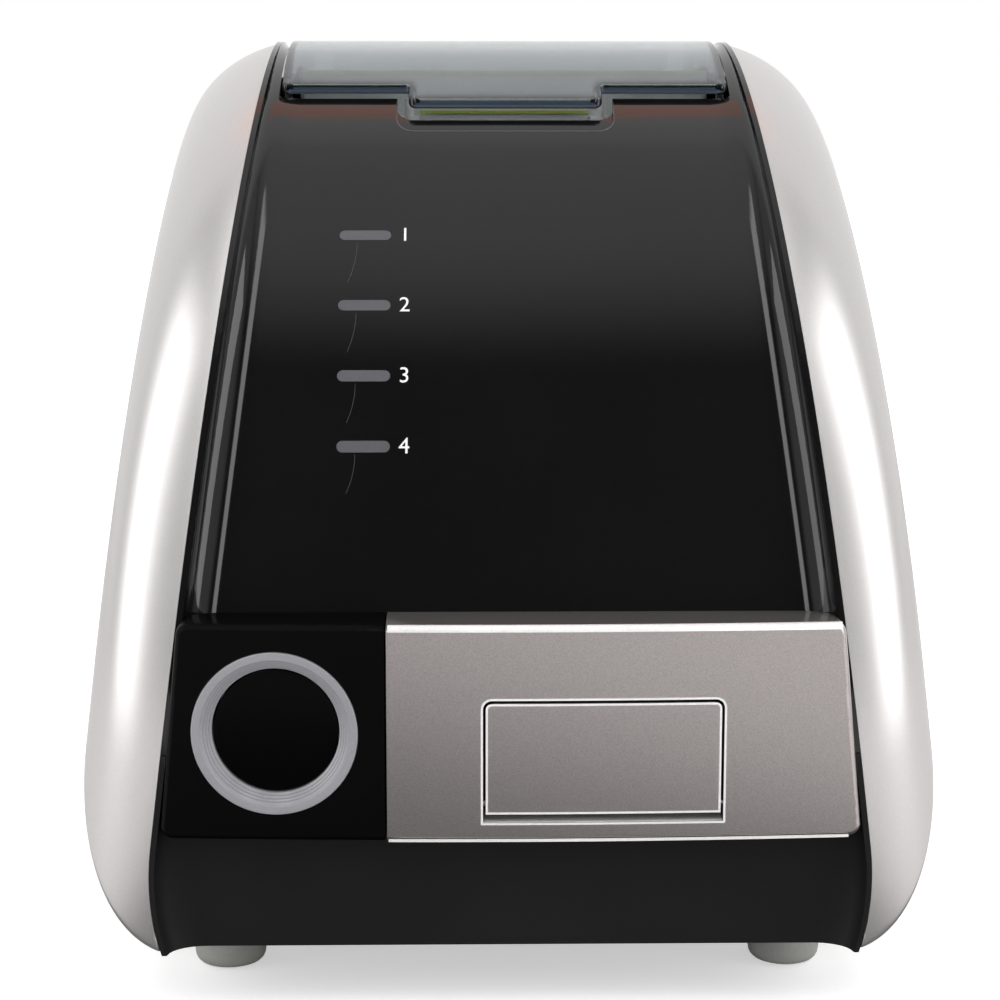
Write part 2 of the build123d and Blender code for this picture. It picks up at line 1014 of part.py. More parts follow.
def light_ring():
    flange_front = -band_wall - slide_gap
    profile = make_face(
        Polyline(
            (ring_radius, 0),
            (ring_face_radius, -ring_step / 2),
            (ring_face_radius - ring_step, -ring_step),
            (ring_bore_radius, -ring_dish),
            (ring_bore_radius, -ring_depth),
            (ring_flange_radius, -ring_depth),
            (ring_flange_radius, flange_front),
            (ring_radius, flange_front),
            close=True,
        )
    )
    ring = revolve(Plane.XZ * profile, axis=Axis.Z)
    return button_plane() * ring


def board_depth():
    wall = floor_front_y(button_height + button_board_height / 2) + core_wall
    tilt = button_board_width / 2 * button_x / bow_radius()
    return wall - button_plane().origin.Y + abs(tilt) + seat_gap


def switch_top_depth():
    return board_depth() - switch_depth


def button_back_depth():
    return ring_dish + button_setback + button_thickness


def plunger_top_depth():
    return switch_top_depth() - button_travel - plunger_bore_gap


def power_button():
    top = -ring_dish - button_setback
    bottom = -button_back_depth()
    crown = TangentArc((0, top), (button_radius, top - button_crown), tangent=(1, 0))
    profile = make_face(
        [
            crown,
            Line((0, top), (0, -plunger_top_depth())),
            Line((0, -plunger_top_depth()), (stem_radius, -plunger_top_depth())),
            Line((stem_radius, -plunger_top_depth()), (stem_radius, bottom)),
            Line((stem_radius, bottom), (button_radius, bottom)),
            Line((button_radius, bottom), (button_radius, top - button_crown)),
        ]
    )
    return button_plane() * revolve(Plane.XZ * profile, axis=Axis.Z)


def switch_plunger():
    top = -plunger_top_depth()
    return button_plane() * rod_z(plunger_radius, top, top - plunger_length, 0, 0)


def button_switch():
    top = -switch_top_depth()
    bottom = top - switch_depth
    half = switch_half_width
    block = box_between((-half, -half, bottom), (half, half, top))
    bore_radius = plunger_radius + plunger_bore_gap
    bore_bottom = -plunger_top_depth() - plunger_length - button_travel - plunger_bore_gap
    return button_plane() * (block - rod_z(bore_radius, top + overrun, bore_bottom, 0, 0))


def button_board():
    top = -board_depth()
    half_width = button_board_width / 2
    half_height = button_board_height / 2
    board = box_between(
        (-half_width, -half_height, top - board_thickness), (half_width, half_height, top)
    )
    return button_plane() * board


# Status lenses and their board

def indicator_lenses():
    shell = floor_block(0, base_height) - floor_block(lens_depth, base_height)
    return join([lens_prism(index, 0) & shell for index in range(lens_count)])


def status_plane():
    first = lens_plane(0).origin
    last = lens_plane(lens_count - 1).origin
    run = first - last
    normal = Vector(0, -run.Z, run.Y).normalized()
    middle = (first + last) * 0.5 - normal * status_board_depth
    return Plane(origin=middle, x_dir=(1, 0, 0), z_dir=normal)


def status_length():
    first = lens_plane(0).origin
    last = lens_plane(lens_count - 1).origin
    return (first - last).length + status_board_margin


def status_pillars():
    wall = floor_block(core_wall / 2, base_height)
    x = status_board_width / 2 - status_pillar_inset
    y = status_length() / 2 - status_pillar_inset
    pillars = []
    for across, along in corner_places(x, y):
        pillar = status_plane() * rod_z(status_pillar_radius, 0, 2 * status_board_depth, across, along)
        pillars.append(pillar & wall)
    return join(pillars)


def status_board():
    plane = status_plane()
    board = Box(status_board_width, status_length(), board_thickness)
    board = Pos(0, 0, -board_thickness / 2) * board
    for index in range(lens_count):
        spot = plane.to_local_coords(lens_plane(index).origin)
        board += Pos(0, spot.Y, status_light_height / 2) * Box(
            status_light_length, status_light_width, status_light_height
        )
    return plane * board


# Plate transport between two frames

def frame_side_x(side):
    return path_x + side * frame_inner_half


def shaft_places():
    feed_y = path_y + plate_gap / 2 + roller_radius
    pinch_y = path_y - plate_gap / 2 - pinch_radius
    places = []
    for height in (feed_roller_height, exit_roller_height):
        places.append((feed_y, height, shaft_radius))
        places.append((pinch_y, height, pinch_shaft_radius))
    return places


def transport_frame(side):
    plate = make_face(
        Polyline(
            (-frame_front, deck_bottom),
            (frame_rear, deck_bottom),
            (frame_rear, chassis_top()),
            (frame_leg_front, chassis_top()),
            (frame_leg_front, frame_bottom),
            (-frame_front, frame_bottom),
            close=True,
        )
    )
    outer = plate.vertices().sort_by(Axis.X)[:2]
    plate = fillet(outer, frame_corner)
    inner_x = frame_side_x(side)
    frame = Pos(inner_x, 0, 0) * extrude(Plane.YZ * plate, amount=side * frame_thickness)
    for y, z, radius in shaft_places():
        hole = radius + bush_wall + bearing_gap
        frame -= rod_x(hole, inner_x - overrun, inner_x + overrun, y, z)
    return frame


def shaft_bushes():
    bushes = []
    for side in (-1, 1):
        inner = frame_side_x(side)
        outer = inner + side * frame_thickness
        for y, z, radius in shaft_places():
            bore = radius + bearing_gap
            sleeve = rod_x(radius + bush_wall, inner, outer, y, z)
            end = outer + side * bush_flange_thickness
            flange = rod_x(radius + bush_flange_wall, outer, end, y, z)
            bush = sleeve + flange
            bushes.append(bush - rod_x(bore, inner - side * overrun, end + side * overrun, y, z))
    return join(bushes)


def driven_roller(index):
    y, z, radius = shaft_places()[index]
    left = path_x - roller_half_length
    right = path_x + roller_half_length
    return tube_x(roller_radius, radius + bearing_gap, left, right, y, z)


def driven_shaft(index):
    y, z, radius = shaft_places()[index]
    right = frame_side_x(1) + frame_thickness + bush_flange_thickness + shaft_end
    return rod_x(radius, pulley_left_x() - shaft_end, right, y, z)


def pinch_roller(index):
    y, z, radius = shaft_places()[index]
    reach = frame_inner_half + frame_thickness + bush_flange_thickness + shaft_end
    roller = rod_x(pinch_radius, path_x - roller_half_length, path_x + roller_half_length, y, z)
    return roller + rod_x(radius, path_x - reach, path_x + reach, y, z)


def window_half(radius):
    depth = (guide_gap - plate_gap) / 2 + guide_thickness
    return sqrt(radius ** 2 - (radius - depth) ** 2) + guide_window_margin


def plate_guide(side, radius):
    near = path_y + side * guide_gap / 2
    far = near + side * guide_thickness
    low_y = min(near, far)
    high_y = max(near, far)
    half = frame_inner_half - slide_gap
    top = deck_bottom - slide_gap
    guide = box_between((path_x - half, low_y, guide_bottom), (path_x + half, high_y, top))
    openings = [
        (exit_roller_height, window_half(radius), roller_half_length + guide_window_margin),
        (feed_roller_height, window_half(radius), roller_half_length + guide_window_margin),
    ]
    if side > 0:
        openings.append(
            (scan_height + scan_window_rise, scan_window / 2, roller_half_length)
        )
    for height, tall, wide in openings:
        guide -= box_between(
            (path_x - wide, low_y - overrun, height - tall),
            (path_x + wide, high_y + overrun, height + tall),
        )
    return guide


def eraser_light_bar():
    near = path_y + guide_gap / 2 + eraser_gap
    half = frame_inner_half - slide_gap
    bar = box_between(
        (path_x - half, near, eraser_height - eraser_tall / 2),
        (path_x + half, near + eraser_depth, eraser_height + eraser_tall / 2),
    )
    pitch = 2 * roller_half_length / eraser_lights
    for index in range(eraser_lights):
        x = path_x + (index - (eraser_lights - 1) / 2) * pitch
        bar += box_between(
            (x - eraser_light_size / 2, near - eraser_light_depth, eraser_height - eraser_light_size / 2),
            (x + eraser_light_size / 2, near, eraser_height + eraser_light_size / 2),
        )
    return bar


# Belt drive

def pulley_right_x():
    return frame_side_x(-1) - frame_thickness - bush_flange_thickness - pulley_gap


def pulley_left_x():
    return pulley_right_x() - pulley_width - 2 * pulley_flange_thickness


def pulley(radius, bore, y, z):
    left = pulley_left_x()
    right = pulley_right_x()
    toothed = rod_x(radius, left, right, y, z)
    count = round(2 * pi * radius / tooth_pitch)
    for index in range(count):
        turn = radians(index * 360 / count)
        groove_y = y + radius * cos(turn)
        groove_z = z + radius * sin(turn)
        toothed -= rod_x(tooth_depth, left - overrun, right + overrun, groove_y, groove_z)
    flange_radius = radius + pulley_flange
    toothed += rod_x(flange_radius, left, left + pulley_flange_thickness, y, z)
    toothed += rod_x(flange_radius, right - pulley_flange_thickness, right, y, z)
    return toothed - rod_x(bore + bearing_gap, left - overrun, right + overrun, y, z)


def belt_face(grow):
    circles = []
    wheels = [(y, z, pulley_radius) for y, z, radius in shaft_places()[::2]]
    wheels.append((motor_y, motor_height, motor_pulley_radius))
    for y, z, radius in wheels:
        circles += (Pos(y, z) * Circle(radius + belt_gap + grow)).edges()
    return make_hull(circles)


def drive_belt():
    loop = belt_face(belt_thickness) - belt_face(0)
    middle = (pulley_left_x() + pulley_right_x()) / 2
    return Pos(middle - belt_width / 2, 0, 0) * extrude(Plane.YZ * loop, amount=belt_width)


def motor_face_x():
    return pulley_left_x() - pulley_gap - motor_plate_thickness


def stepper_motor():
    face_x = motor_face_x()
    square = fillet(Rectangle(motor_side, motor_side).vertices(), motor_corner)
    body = Pos(face_x, 0, 0) * extrude(
        Plane.YZ * Pos(motor_y, motor_height) * square, amount=-motor_length
    )
    body += rod_x(
        motor_collar_radius, face_x, face_x + motor_plate_thickness, motor_y, motor_height
    )
    bore = motor_shaft_radius + bearing_gap
    return body - rod_x(
        bore, face_x - motor_bore_depth, face_x + overrun, motor_y, motor_height
    )


def motor_shaft():
    start = motor_face_x() - motor_bore_depth + slide_gap
    return rod_x(motor_shaft_radius, start, pulley_right_x() + shaft_end, motor_y, motor_height)


def motor_bracket():
    half = motor_side / 2 + motor_plate_margin
    left = motor_face_x()
    right = left + motor_plate_thickness
    plate = box_between(
        (left, motor_y - half, chassis_top()), (right, motor_y + half, motor_height + half)
    )
    plate = fillet(plate.edges().filter_by(Axis.X).sort_by(Axis.Z)[2:], motor_corner)
    foot = box_between(
        (left - motor_foot_depth, motor_y - half, chassis_top()),
        (right, motor_y + half, chassis_top() + motor_plate_thickness),
    )
    hole = rod_x(
        motor_collar_radius + seat_gap, left - overrun, right + overrun, motor_y, motor_height
    )
    return plate + foot - hole


# Optics

def bench_top():
    return bench_height + bench_thickness


def bench_post_places():
    middle = (bench_front + bench_rear) / 2
    x = bench_half_width - bench_post_inset
    y = (bench_rear - bench_front) / 2 - bench_post_inset
    return [(path_x + across, middle + along) for across, along in corner_places(x, y)]


def optical_bench():
    plate = box_between(
        (path_x - bench_half_width, bench_front, bench_height),
        (path_x + bench_half_width, bench_rear, bench_top()),
    )
    bench = fillet(plate.edges().filter_by(Axis.Z), bench_post_inset)
    for x, y in bench_post_places():
        bench += rod_z(bench_post_radius, chassis_top(), bench_height, x, y)
    return bench


def mirror_motor():
    top = scan_height - mirror_thickness / 2 - mirror_motor_gap
    motor = rod_z(mirror_motor_radius, bench_top(), top, path_x, mirror_y)
    bore = mirror_bore_radius + bearing_gap
    return motor - rod_z(bore, bench_top() + mirror_motor_gap, top + overrun, path_x, mirror_y)


def polygon_mirror():
    bottom = scan_height - mirror_thickness / 2
    face = RegularPolygon(mirror_radius, mirror_faces)
    mirror_block = Pos(path_x, mirror_y, bottom) * extrude(face, amount=mirror_thickness)
    spindle_bottom = bench_top() + 2 * mirror_motor_gap
    hub_top = scan_height + mirror_thickness / 2 + mirror_motor_gap
    spindle = rod_z(mirror_bore_radius, spindle_bottom, hub_top, path_x, mirror_y)
    return mirror_block + spindle


def scan_lens():
    half = scan_lens_width / 2
    front = scan_lens_y - scan_lens_thickness / 2
    rear = scan_lens_y + scan_lens_thickness / 2
    sag = scan_lens_radius - sqrt(scan_lens_radius ** 2 - half ** 2)
    outline = make_face(
        [
            ThreePointArc((-half, front + sag), (0, front), (half, front + sag)),
            Line((half, front + sag), (half, rear)),
            Line((half, rear), (-half, rear)),
            Line((-half, rear), (-half, front + sag)),
        ]
    )
    bottom = scan_height - scan_lens_height / 2
    return Pos(path_x, 0, bottom) * extrude(outline, amount=scan_lens_height)


def scan_lens_mount():
    half = scan_lens_width / 2
    top = scan_height - scan_lens_height / 2
    rear = scan_lens_y + scan_lens_thickness / 2
    return box_between(
        (path_x - half, rear - lens_mount_width / 2, bench_top()), (path_x + half, rear, top)
    )


def laser_place():
    turn = degrees(atan2(mirror_y - laser_y, -laser_offset))
    return Pos(path_x + laser_offset, laser_y, scan_height) * Rot(0, 0, turn)


def laser_module():
    return laser_place() * rod_x(laser_radius, -laser_length / 2, laser_length / 2, 0, 0)


def laser_mount():
    block = box_between(
        (-laser_block_length / 2, -laser_block_width / 2, bench_top() - scan_height),
        (laser_block_length / 2, laser_block_width / 2, laser_block_width / 2),
    )
    bore = rod_x(laser_bore_radius, -laser_block_length, laser_block_length, 0, 0)
    return laser_place() * (block - bore)


def detector_front_y():
    return frame_rear


def light_guide():
    start = path_y + guide_gap / 2 + guide_thickness + slide_gap
    slit = SlotOverall(2 * roller_half_length, light_guide_slit)
    near = Plane(
        origin=(path_x, start, scan_height + light_guide_rise), x_dir=(1, 0, 0), z_dir=(0, -1, 0)
    )
    far = Plane(
        origin=(path_x, detector_front_y(), light_guide_end_height),
        x_dir=(1, 0, 0),
        z_dir=(0, -1, 0),
    )
    return loft([near * slit, far * Circle(light_guide_end_radius)])


def detector_housing():
    front = detector_front_y()
    half = frame_inner_half + frame_thickness
    flange = box_between(
        (path_x - half, front, detector_height - detector_flange_height / 2),
        (path_x + half, front + detector_flange_thickness, detector_height + detector_flange_height / 2),
    )
    return flange + rod_y(detector_radius, front, front + detector_length, path_x, detector_height)


# Outlet chute

def chute_section(grow):
    reach = floor_front + overrun
    top = chute_top + overrun
    outline = make_face(
        Polyline(
            (-reach, outlet_bottom),
            (-chute_knee, outlet_bottom),
            (-chute_mouth_rear, chute_top),
            (-chute_mouth_rear, top),
            (-chute_mouth_front, top),
            (-chute_mouth_front, chute_top),
            (-chute_roof_knee, outlet_top),
            (-reach, outlet_top),
            close=True,
        )
    )
    if grow:
        outline = offset(outline, grow, kind=Kind.INTERSECTION)
    return extrude(Plane.YZ * outline, amount=outlet_half_width + grow, both=True)


def outlet_chute():
    walls = Pos(path_x, 0, 0) * (chute_section(chute_wall) - chute_section(0))
    room = floor_block(0, 0) & box_between(
        (-reach_limit, -reach_limit, 0), (reach_limit, reach_limit, chute_top)
    )
    return walls & room


# Chassis, boards, fan and sockets

def chassis_top():
    return chassis_bottom() + chassis_thickness


def main_board_bottom():
    return chassis_top() + board_lift


def main_board_top():
    return main_board_bottom() + board_thickness


def main_board_rear():
    return floor_rear - core_wall - main_board_rear_gap


def main_board():
    half = main_board_half_width
    front = main_board_front
    rear = main_board_rear()
    middle = (front + rear) / 2
    depth = (rear - front) / 2
    top = main_board_top()
    board = box_between((-half, front, main_board_bottom()), (half, rear, top))
    for across, along, size in chips_share:
        x = across * half
        y = middle + along * depth
        reach = size * half / 2
        board += box_between((x - reach, y - reach, top), (x + reach, y + reach, top + chip_height))
    for x, y in bench_post_places():
        hole = bench_post_radius + seam_gap
        board -= rod_z(hole, main_board_bottom() - overrun, top + overrun, x, y)
    return board


def board_posts():
    middle = (main_board_front + main_board_rear()) / 2
    x = main_board_half_width - board_post_inset
    y = (main_board_rear() - main_board_front) / 2 - board_post_inset
    posts = []
    for across, along in corner_places(x, y):
        posts.append(
            rod_z(board_post_radius, chassis_top(), main_board_bottom(), across, middle + along)
        )
    return join(posts)


def power_board():
    x = power_board_x
    rear = power_board_front + power_board_depth
    top = chassis_top() + power_board_tall
    board = box_between((x, power_board_front, chassis_top()), (x + board_thickness, rear, top))
    middle_y = (power_board_front + rear) / 2
    middle_z = (chassis_top() + top) / 2
    face = x + board_thickness
    for across, up in coils_share:
        y = middle_y + across * power_board_depth / 2
        z = middle_z + up * power_board_tall / 2
        board += rod_x(coil_radius, face, face + coil_length, y, z)
    return board


def fan_rear():
    top = fan_height + fan_side / 2
    reach = floor_rear - core_wall
    return curve_reach(top, reach, floor_crest - core_wall, rear_spring_height) - seat_gap


def fan_frame():
    rear = fan_rear()
    front = rear - fan_depth
    frame = box_between(
        (fan_x - fan_side / 2, front, fan_height - fan_side / 2),
        (fan_x + fan_side / 2, rear, fan_height + fan_side / 2),
    )
    frame = fillet(frame.edges().filter_by(Axis.Y), fan_corner)
    frame -= rod_y(fan_bore_radius, front - overrun, rear + overrun, fan_x, fan_height)
    arm_end = front + fan_arm_depth
    reach = fan_bore_radius + seam_gap
    frame += box_between(
        (fan_x - reach, front, fan_height - fan_arm_width / 2),
        (fan_x + reach, arm_end, fan_height + fan_arm_width / 2),
    )
    frame += box_between(
        (fan_x - fan_arm_width / 2, front, fan_height - reach),
        (fan_x + fan_arm_width / 2, arm_end, fan_height + reach),
    )
    frame += rod_y(fan_hub_radius, front, arm_end, fan_x, fan_height)
    return frame + rod_y(fan_spindle_radius, front, arm_end + fan_hub_depth, fan_x, fan_height)


def fan_rotor():
    start = fan_rear() - fan_depth + fan_arm_depth + seam_gap
    end = start + fan_hub_depth
    middle = (start + end) / 2
    rotor = rod_y(fan_hub_radius, start, end, fan_x, fan_height)
    blade_end = fan_bore_radius - fan_tip_gap
    blade_start = fan_hub_radius - fan_tip_gap
    blade = Pos((blade_start + blade_end) / 2, 0, 0) * Rot(fan_blade_turn, 0, 0) * Box(
        blade_end - blade_start, fan_blade_thickness, fan_hub_depth
    )
    for index in range(fan_blades):
        turn = Rot(0, index * 360 / fan_blades, 0)
        rotor += Pos(fan_x, middle, fan_height) * turn * blade
    bore = fan_spindle_radius + bearing_gap
    return rotor - rod_y(bore, start - overrun, end + overrun, fan_x, fan_height)


def power_socket():
    rear = floor_rear
    z = socket_height()
    x = power_socket_x
    block = box_between(
        (x - socket_half, rear - power_socket_depth, z - socket_half),
        (x + socket_half, rear, z + socket_half),
    )
    bottom = rear - power_socket_bore
    block -= rod_y(power_socket_radius, bottom, rear + overrun, x, z)
    return block + rod_y(power_pin_radius, bottom, rear - power_pin_setback, x, z)


def data_socket():
    rear = floor_rear
    front = rear - data_socket_depth
    z = socket_height()
    x = data_socket_x
    half = data_socket_half_width
    wall = data_socket_wall
    shell = box_between((x - half, front, z - socket_half), (x + half, rear, z + socket_half))
    shell -= box_between(
        (x - half + wall, front + wall, z - socket_half + wall),
        (x + half - wall, rear + overrun, z + socket_half - wall),
    )
    return shell + box_between(
        (x - data_tongue_half_width, front + wall / 2, z - data_tongue_half_height),
        (x + data_tongue_half_width, rear - data_tongue_setback, z + data_tongue_half_height),
    )


def build():
    core = core_solid()
    skin = core_skin(core)
    right_shell = right_side_shell()
    return {
        "right_side_shell": right_shell,
        "left_side_shell": mirror(right_shell, about=Plane.YZ),
        "front_cover": front_cover(skin),
        "rear_cover": rear_cover(skin),
        "base_pan": base_pan(skin),
        "chassis_plate": chassis_plate(),
        "housing_screws": housing_screws(),
        "rubber_feet": rubber_feet(),
        "lid": lid(),
        "lid_hinge_pins": lid_hinge_pins(),
        "feed_deck": feed_deck(),
        "guide_strips": guide_strips(),
        "button_panel": button_panel(core),
        "outlet_panel": outlet_panel(core),
        "outlet_door": outlet_door(),
        "door_hinge_pins": door_hinge_pins(),
        "light_ring": light_ring(),
        "power_button": power_button(),
        "switch_plunger": switch_plunger(),
        "button_switch": button_switch(),
        "button_board": button_board(),
        "indicator_lenses": indicator_lenses(),
        "status_board": status_board(),
        "transport_frame_left": transport_frame(-1),
        "transport_frame_right": transport_frame(1),
        "shaft_bushes": shaft_bushes(),
        "feed_roller": driven_roller(0),
        "feed_shaft": driven_shaft(0),
        "feed_pinch_roller": pinch_roller(1),
        "exit_roller": driven_roller(2),
        "exit_shaft": driven_shaft(2),
        "exit_pinch_roller": pinch_roller(3),
        "front_plate_guide": plate_guide(-1, pinch_radius),
        "back_plate_guide": plate_guide(1, roller_radius),
        "eraser_light_bar": eraser_light_bar(),
        "feed_pulley": pulley(pulley_radius, shaft_radius, *shaft_places()[0][:2]),
        "exit_pulley": pulley(pulley_radius, shaft_radius, *shaft_places()[2][:2]),
        "motor_pulley": pulley(motor_pulley_radius, motor_shaft_radius, motor_y, motor_height),
        "drive_belt": drive_belt(),
        "stepper_motor": stepper_motor(),
        "motor_shaft": motor_shaft(),
        "motor_bracket": motor_bracket(),
        "optical_bench": optical_bench(),
        "mirror_motor": mirror_motor(),
        "polygon_mirror": polygon_mirror(),
        "scan_lens": scan_lens(),
        "scan_lens_mount": scan_lens_mount(),
        "laser_module": laser_module(),
        "laser_mount": laser_mount(),
        "light_guide": light_guide(),
        "detector_housing": detector_housing(),
        "outlet_chute": outlet_chute(),
        "main_board": main_board(),
        "board_posts": board_posts(),
        "power_board": power_board(),
        "fan_frame": fan_frame(),
        "fan_rotor": fan_rotor(),
        "power_socket": power_socket(),
        "data_socket": data_socket(),
    }


os.makedirs("parts", exist_ok=True)
for name, piece in build().items():
    export_step(piece, f"parts/{name}.step")
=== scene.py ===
import json
import math

import bmesh
import bpy
import numpy as np
from mathutils import Matrix, Vector
from mathutils.geometry import delaunay_2d_cdt


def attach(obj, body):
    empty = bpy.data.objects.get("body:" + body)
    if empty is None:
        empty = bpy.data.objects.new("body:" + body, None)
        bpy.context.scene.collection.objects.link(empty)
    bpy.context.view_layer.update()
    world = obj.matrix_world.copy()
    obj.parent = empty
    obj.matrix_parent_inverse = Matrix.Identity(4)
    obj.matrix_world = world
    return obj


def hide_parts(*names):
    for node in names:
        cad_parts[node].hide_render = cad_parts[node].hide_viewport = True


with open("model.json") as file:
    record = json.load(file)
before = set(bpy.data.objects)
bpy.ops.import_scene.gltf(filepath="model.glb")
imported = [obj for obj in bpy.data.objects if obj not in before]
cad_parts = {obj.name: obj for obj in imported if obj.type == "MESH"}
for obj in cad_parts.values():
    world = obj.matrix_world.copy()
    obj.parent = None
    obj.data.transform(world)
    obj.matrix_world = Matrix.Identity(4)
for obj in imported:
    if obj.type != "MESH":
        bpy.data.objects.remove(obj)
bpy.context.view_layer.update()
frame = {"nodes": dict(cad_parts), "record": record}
nodes = frame["nodes"]
slotOf = {part["node"]: part["material_slot"] for part in frame["record"]["subparts"]}
print("stage: frame loaded,", len(nodes), "nodes")

mm = 0.001
quarter = math.pi / 2

# Sizes of the housing, in millimetres, the same as the solids have
housing = {
    "base": 17.0, "spring": 60.0, "rearSpring": 118.0, "crest": 246.0,
    "front": 142.0, "rear": 146.5, "corner": 1.6,
    "lean": math.radians(7.25), "turnHeight": 45.0, "turnHalf": 90.8, "footHalf": 88.6,
    "gap": 0.15, "rimDrop": 0.8, "rimWidth": 1.4, "coveWidth": 9.5,
    "frontChannel": 8.0, "rearChannel": 6.0, "crestChannel": 3.4, "recess": 1.0,
}
# Corners of a surface that lie this near to its true curve, and lean no more, take its normal
nearCurve = {"distance": 0.25, "along": 0.82}
# Corners nearer to each other than this merge, in metres
doubles = 0.000002
# Angles from which an edge stays sharp, in degrees
sharp = {"cover": 32, "small": 35, "shell": 40, "round": 50}


def coreHalf(z):
    h = housing
    return h["turnHalf"] - (z - h["turnHeight"]) * math.tan(h["lean"])


def coreSide(z):
    # the core's side face, which turns in below the turn height
    h = housing
    if z >= h["turnHeight"]:
        return coreHalf(z)
    drop = h["turnHeight"] - h["base"]
    chordX = h["footHalf"] - h["turnHalf"]
    chord = math.hypot(drop, chordX)
    swing = h["lean"] - math.atan2(chordX, drop)
    radius = chord / (2 * math.sin(swing))
    centreX = h["turnHalf"] - radius * math.cos(h["lean"])
    centreZ = h["turnHeight"] - radius * math.sin(h["lean"])
    return centreX + math.sqrt(max(0.0, radius ** 2 - (z - centreZ) ** 2))


# Materials; net is the node tree of one of them, or of the room

def tree(name):
    material = bpy.data.materials.new(name)
    material.use_nodes = True
    net = material.node_tree
    return material, net, net.nodes["Principled BSDF"]


def feed(net, node, inputs):
    # inputs are numbers, colours or sockets to link, by the name or index of the node's socket
    for key, value in inputs.items():
        if isinstance(value, bpy.types.NodeSocket):
            net.links.new(value, node.inputs[key])
        else:
            node.inputs[key].default_value = value


def add(net, kind, inputs=None, **settings):
    node = net.nodes.new(kind)
    for key, value in settings.items():
        setattr(node, key, value)
    feed(net, node, inputs or {})
    return node


def maths(net, operation, first, second):
    return add(net, "ShaderNodeMath", {0: first, 1: second}, operation=operation).outputs[0]


def product(net, *values):
    result = values[0]
    for value in values[1:]:
        result = maths(net, "MULTIPLY", result, value)
    return result


def fade(net, value, reach, low=0.0, high=1.0):
    # from low to high in a smooth curve while value goes through reach
    node = add(net, "ShaderNodeMapRange",
               {"Value": value, "From Min": reach[0], "From Max": reach[1], "To Min": low,
                "To Max": high}, interpolation_type="SMOOTHSTEP")
    return node.outputs["Result"]


def colourMix(net, share, first, second):
    inputs = {"Factor": share, 6: first, 7: (*second, 1)}
    return add(net, "ShaderNodeMix", inputs, data_type="RGBA").outputs[2]


def objectPoint(net, stretch=(1, 1, 1)):
    place = add(net, "ShaderNodeTexCoord").outputs["Object"]
    return add(net, "ShaderNodeMapping", {"Scale": stretch, "Vector": place}).outputs["Vector"]


def grain(net, point, scale, detail=2.0):
    noise = add(net, "ShaderNodeTexNoise", {"Scale": scale, "Detail": detail, "Vector": point})
    return noise.outputs["Fac"]


def ramp(net, value, ends, colours):
    node = add(net, "ShaderNodeValToRGB", {"Fac": value})
    for element, position, colour in zip(node.color_ramp.elements, ends, colours):
        element.position = position
        element.color = (*colour, 1)
    return node.outputs["Color"]


def swung(colour, swing):
    # a darker and a lighter shade of a colour
    return [c * (1 - swing) for c in colour], [min(1.0, c * (1 + swing)) for c in colour]


def finish(name, look):
    # colour and roughness wander a little at two scales, with a fine relief
    material, net, shader = tree(name)
    point = objectPoint(net, look.get("stretch", (1, 1, 1)))
    broad = grain(net, point, look.get("broad", 25.0), 3.0)
    fine = grain(net, point, look.get("fine", 1500.0), 2.0)
    mean = maths(net, "MULTIPLY", maths(net, "ADD", broad, fine), 0.5)
    tint = ramp(net, mean, (0.35, 0.65), swung(look["colour"], look.get("swing", 0.08)))
    rough = look["rough"]
    wander = look.get("wander", 0.05)
    level = add(net, "ShaderNodeMapRange",
                {"Value": broad, "To Min": max(0.02, rough - wander), "To Max": rough + wander})
    relief = add(net, "ShaderNodeBump",
                 {"Height": fine, "Strength": look.get("relief", 0.2), "Distance": 0.00003})
    feed(net, shader, {"Base Color": tint, "Roughness": level.outputs["Result"],
                       "Normal": relief.outputs["Normal"], "Metallic": look.get("metal", 0.0),
                       "Specular IOR Level": look.get("specular", 0.5)})
    for key, more in extras.items():
        if key in look:
            more(net, shader, look)
    return material


def flakedPaint(net, shader, look):
    # small flakes catch the light one by one
    flakes = add(net, "ShaderNodeTexVoronoi",
                 {"Scale": look["flakes"], "Vector": objectPoint(net)})
    level = add(net, "ShaderNodeSeparateColor", {"Color": flakes.outputs["Color"]})
    tint = ramp(net, level.outputs["Red"], (0.1, 0.9), swung(look["colour"], look["sparkle"]))
    feed(net, shader, {"Base Color": tint})


def clearPlastic(net, shader, look):
    feed(net, shader, {"Transmission Weight": look["clear"]})
    if "rim" in look:
        # painted shade: a dark navy tint on the lid's cut edges, by a share on each corner, stands in
        # for the darkness seen through the sheet's edge
        tint = shader.inputs["Base Color"].links[0].from_socket
        place = add(net, "ShaderNodeAttribute", attribute_name="rim")
        feed(net, shader, {"Base Color": colourMix(net, place.outputs["Fac"], tint, look["rim"])})


def circuitBoard(net, shader, look):
    # tracks and pads in a lighter green on solder mask
    bricks = add(net, "ShaderNodeTexBrick",
                 {"Scale": look["tiles"], "Mortar Size": look["line"], "Color1": (*look["colour"], 1),
                  "Color2": (*look["mask"], 1), "Mortar": (*look["tracks"], 1),
                  "Vector": objectPoint(net)})
    feed(net, shader, {"Base Color": bricks.outputs["Color"]})


extras = {"flakes": flakedPaint, "clear": clearPlastic, "tracks": circuitBoard}


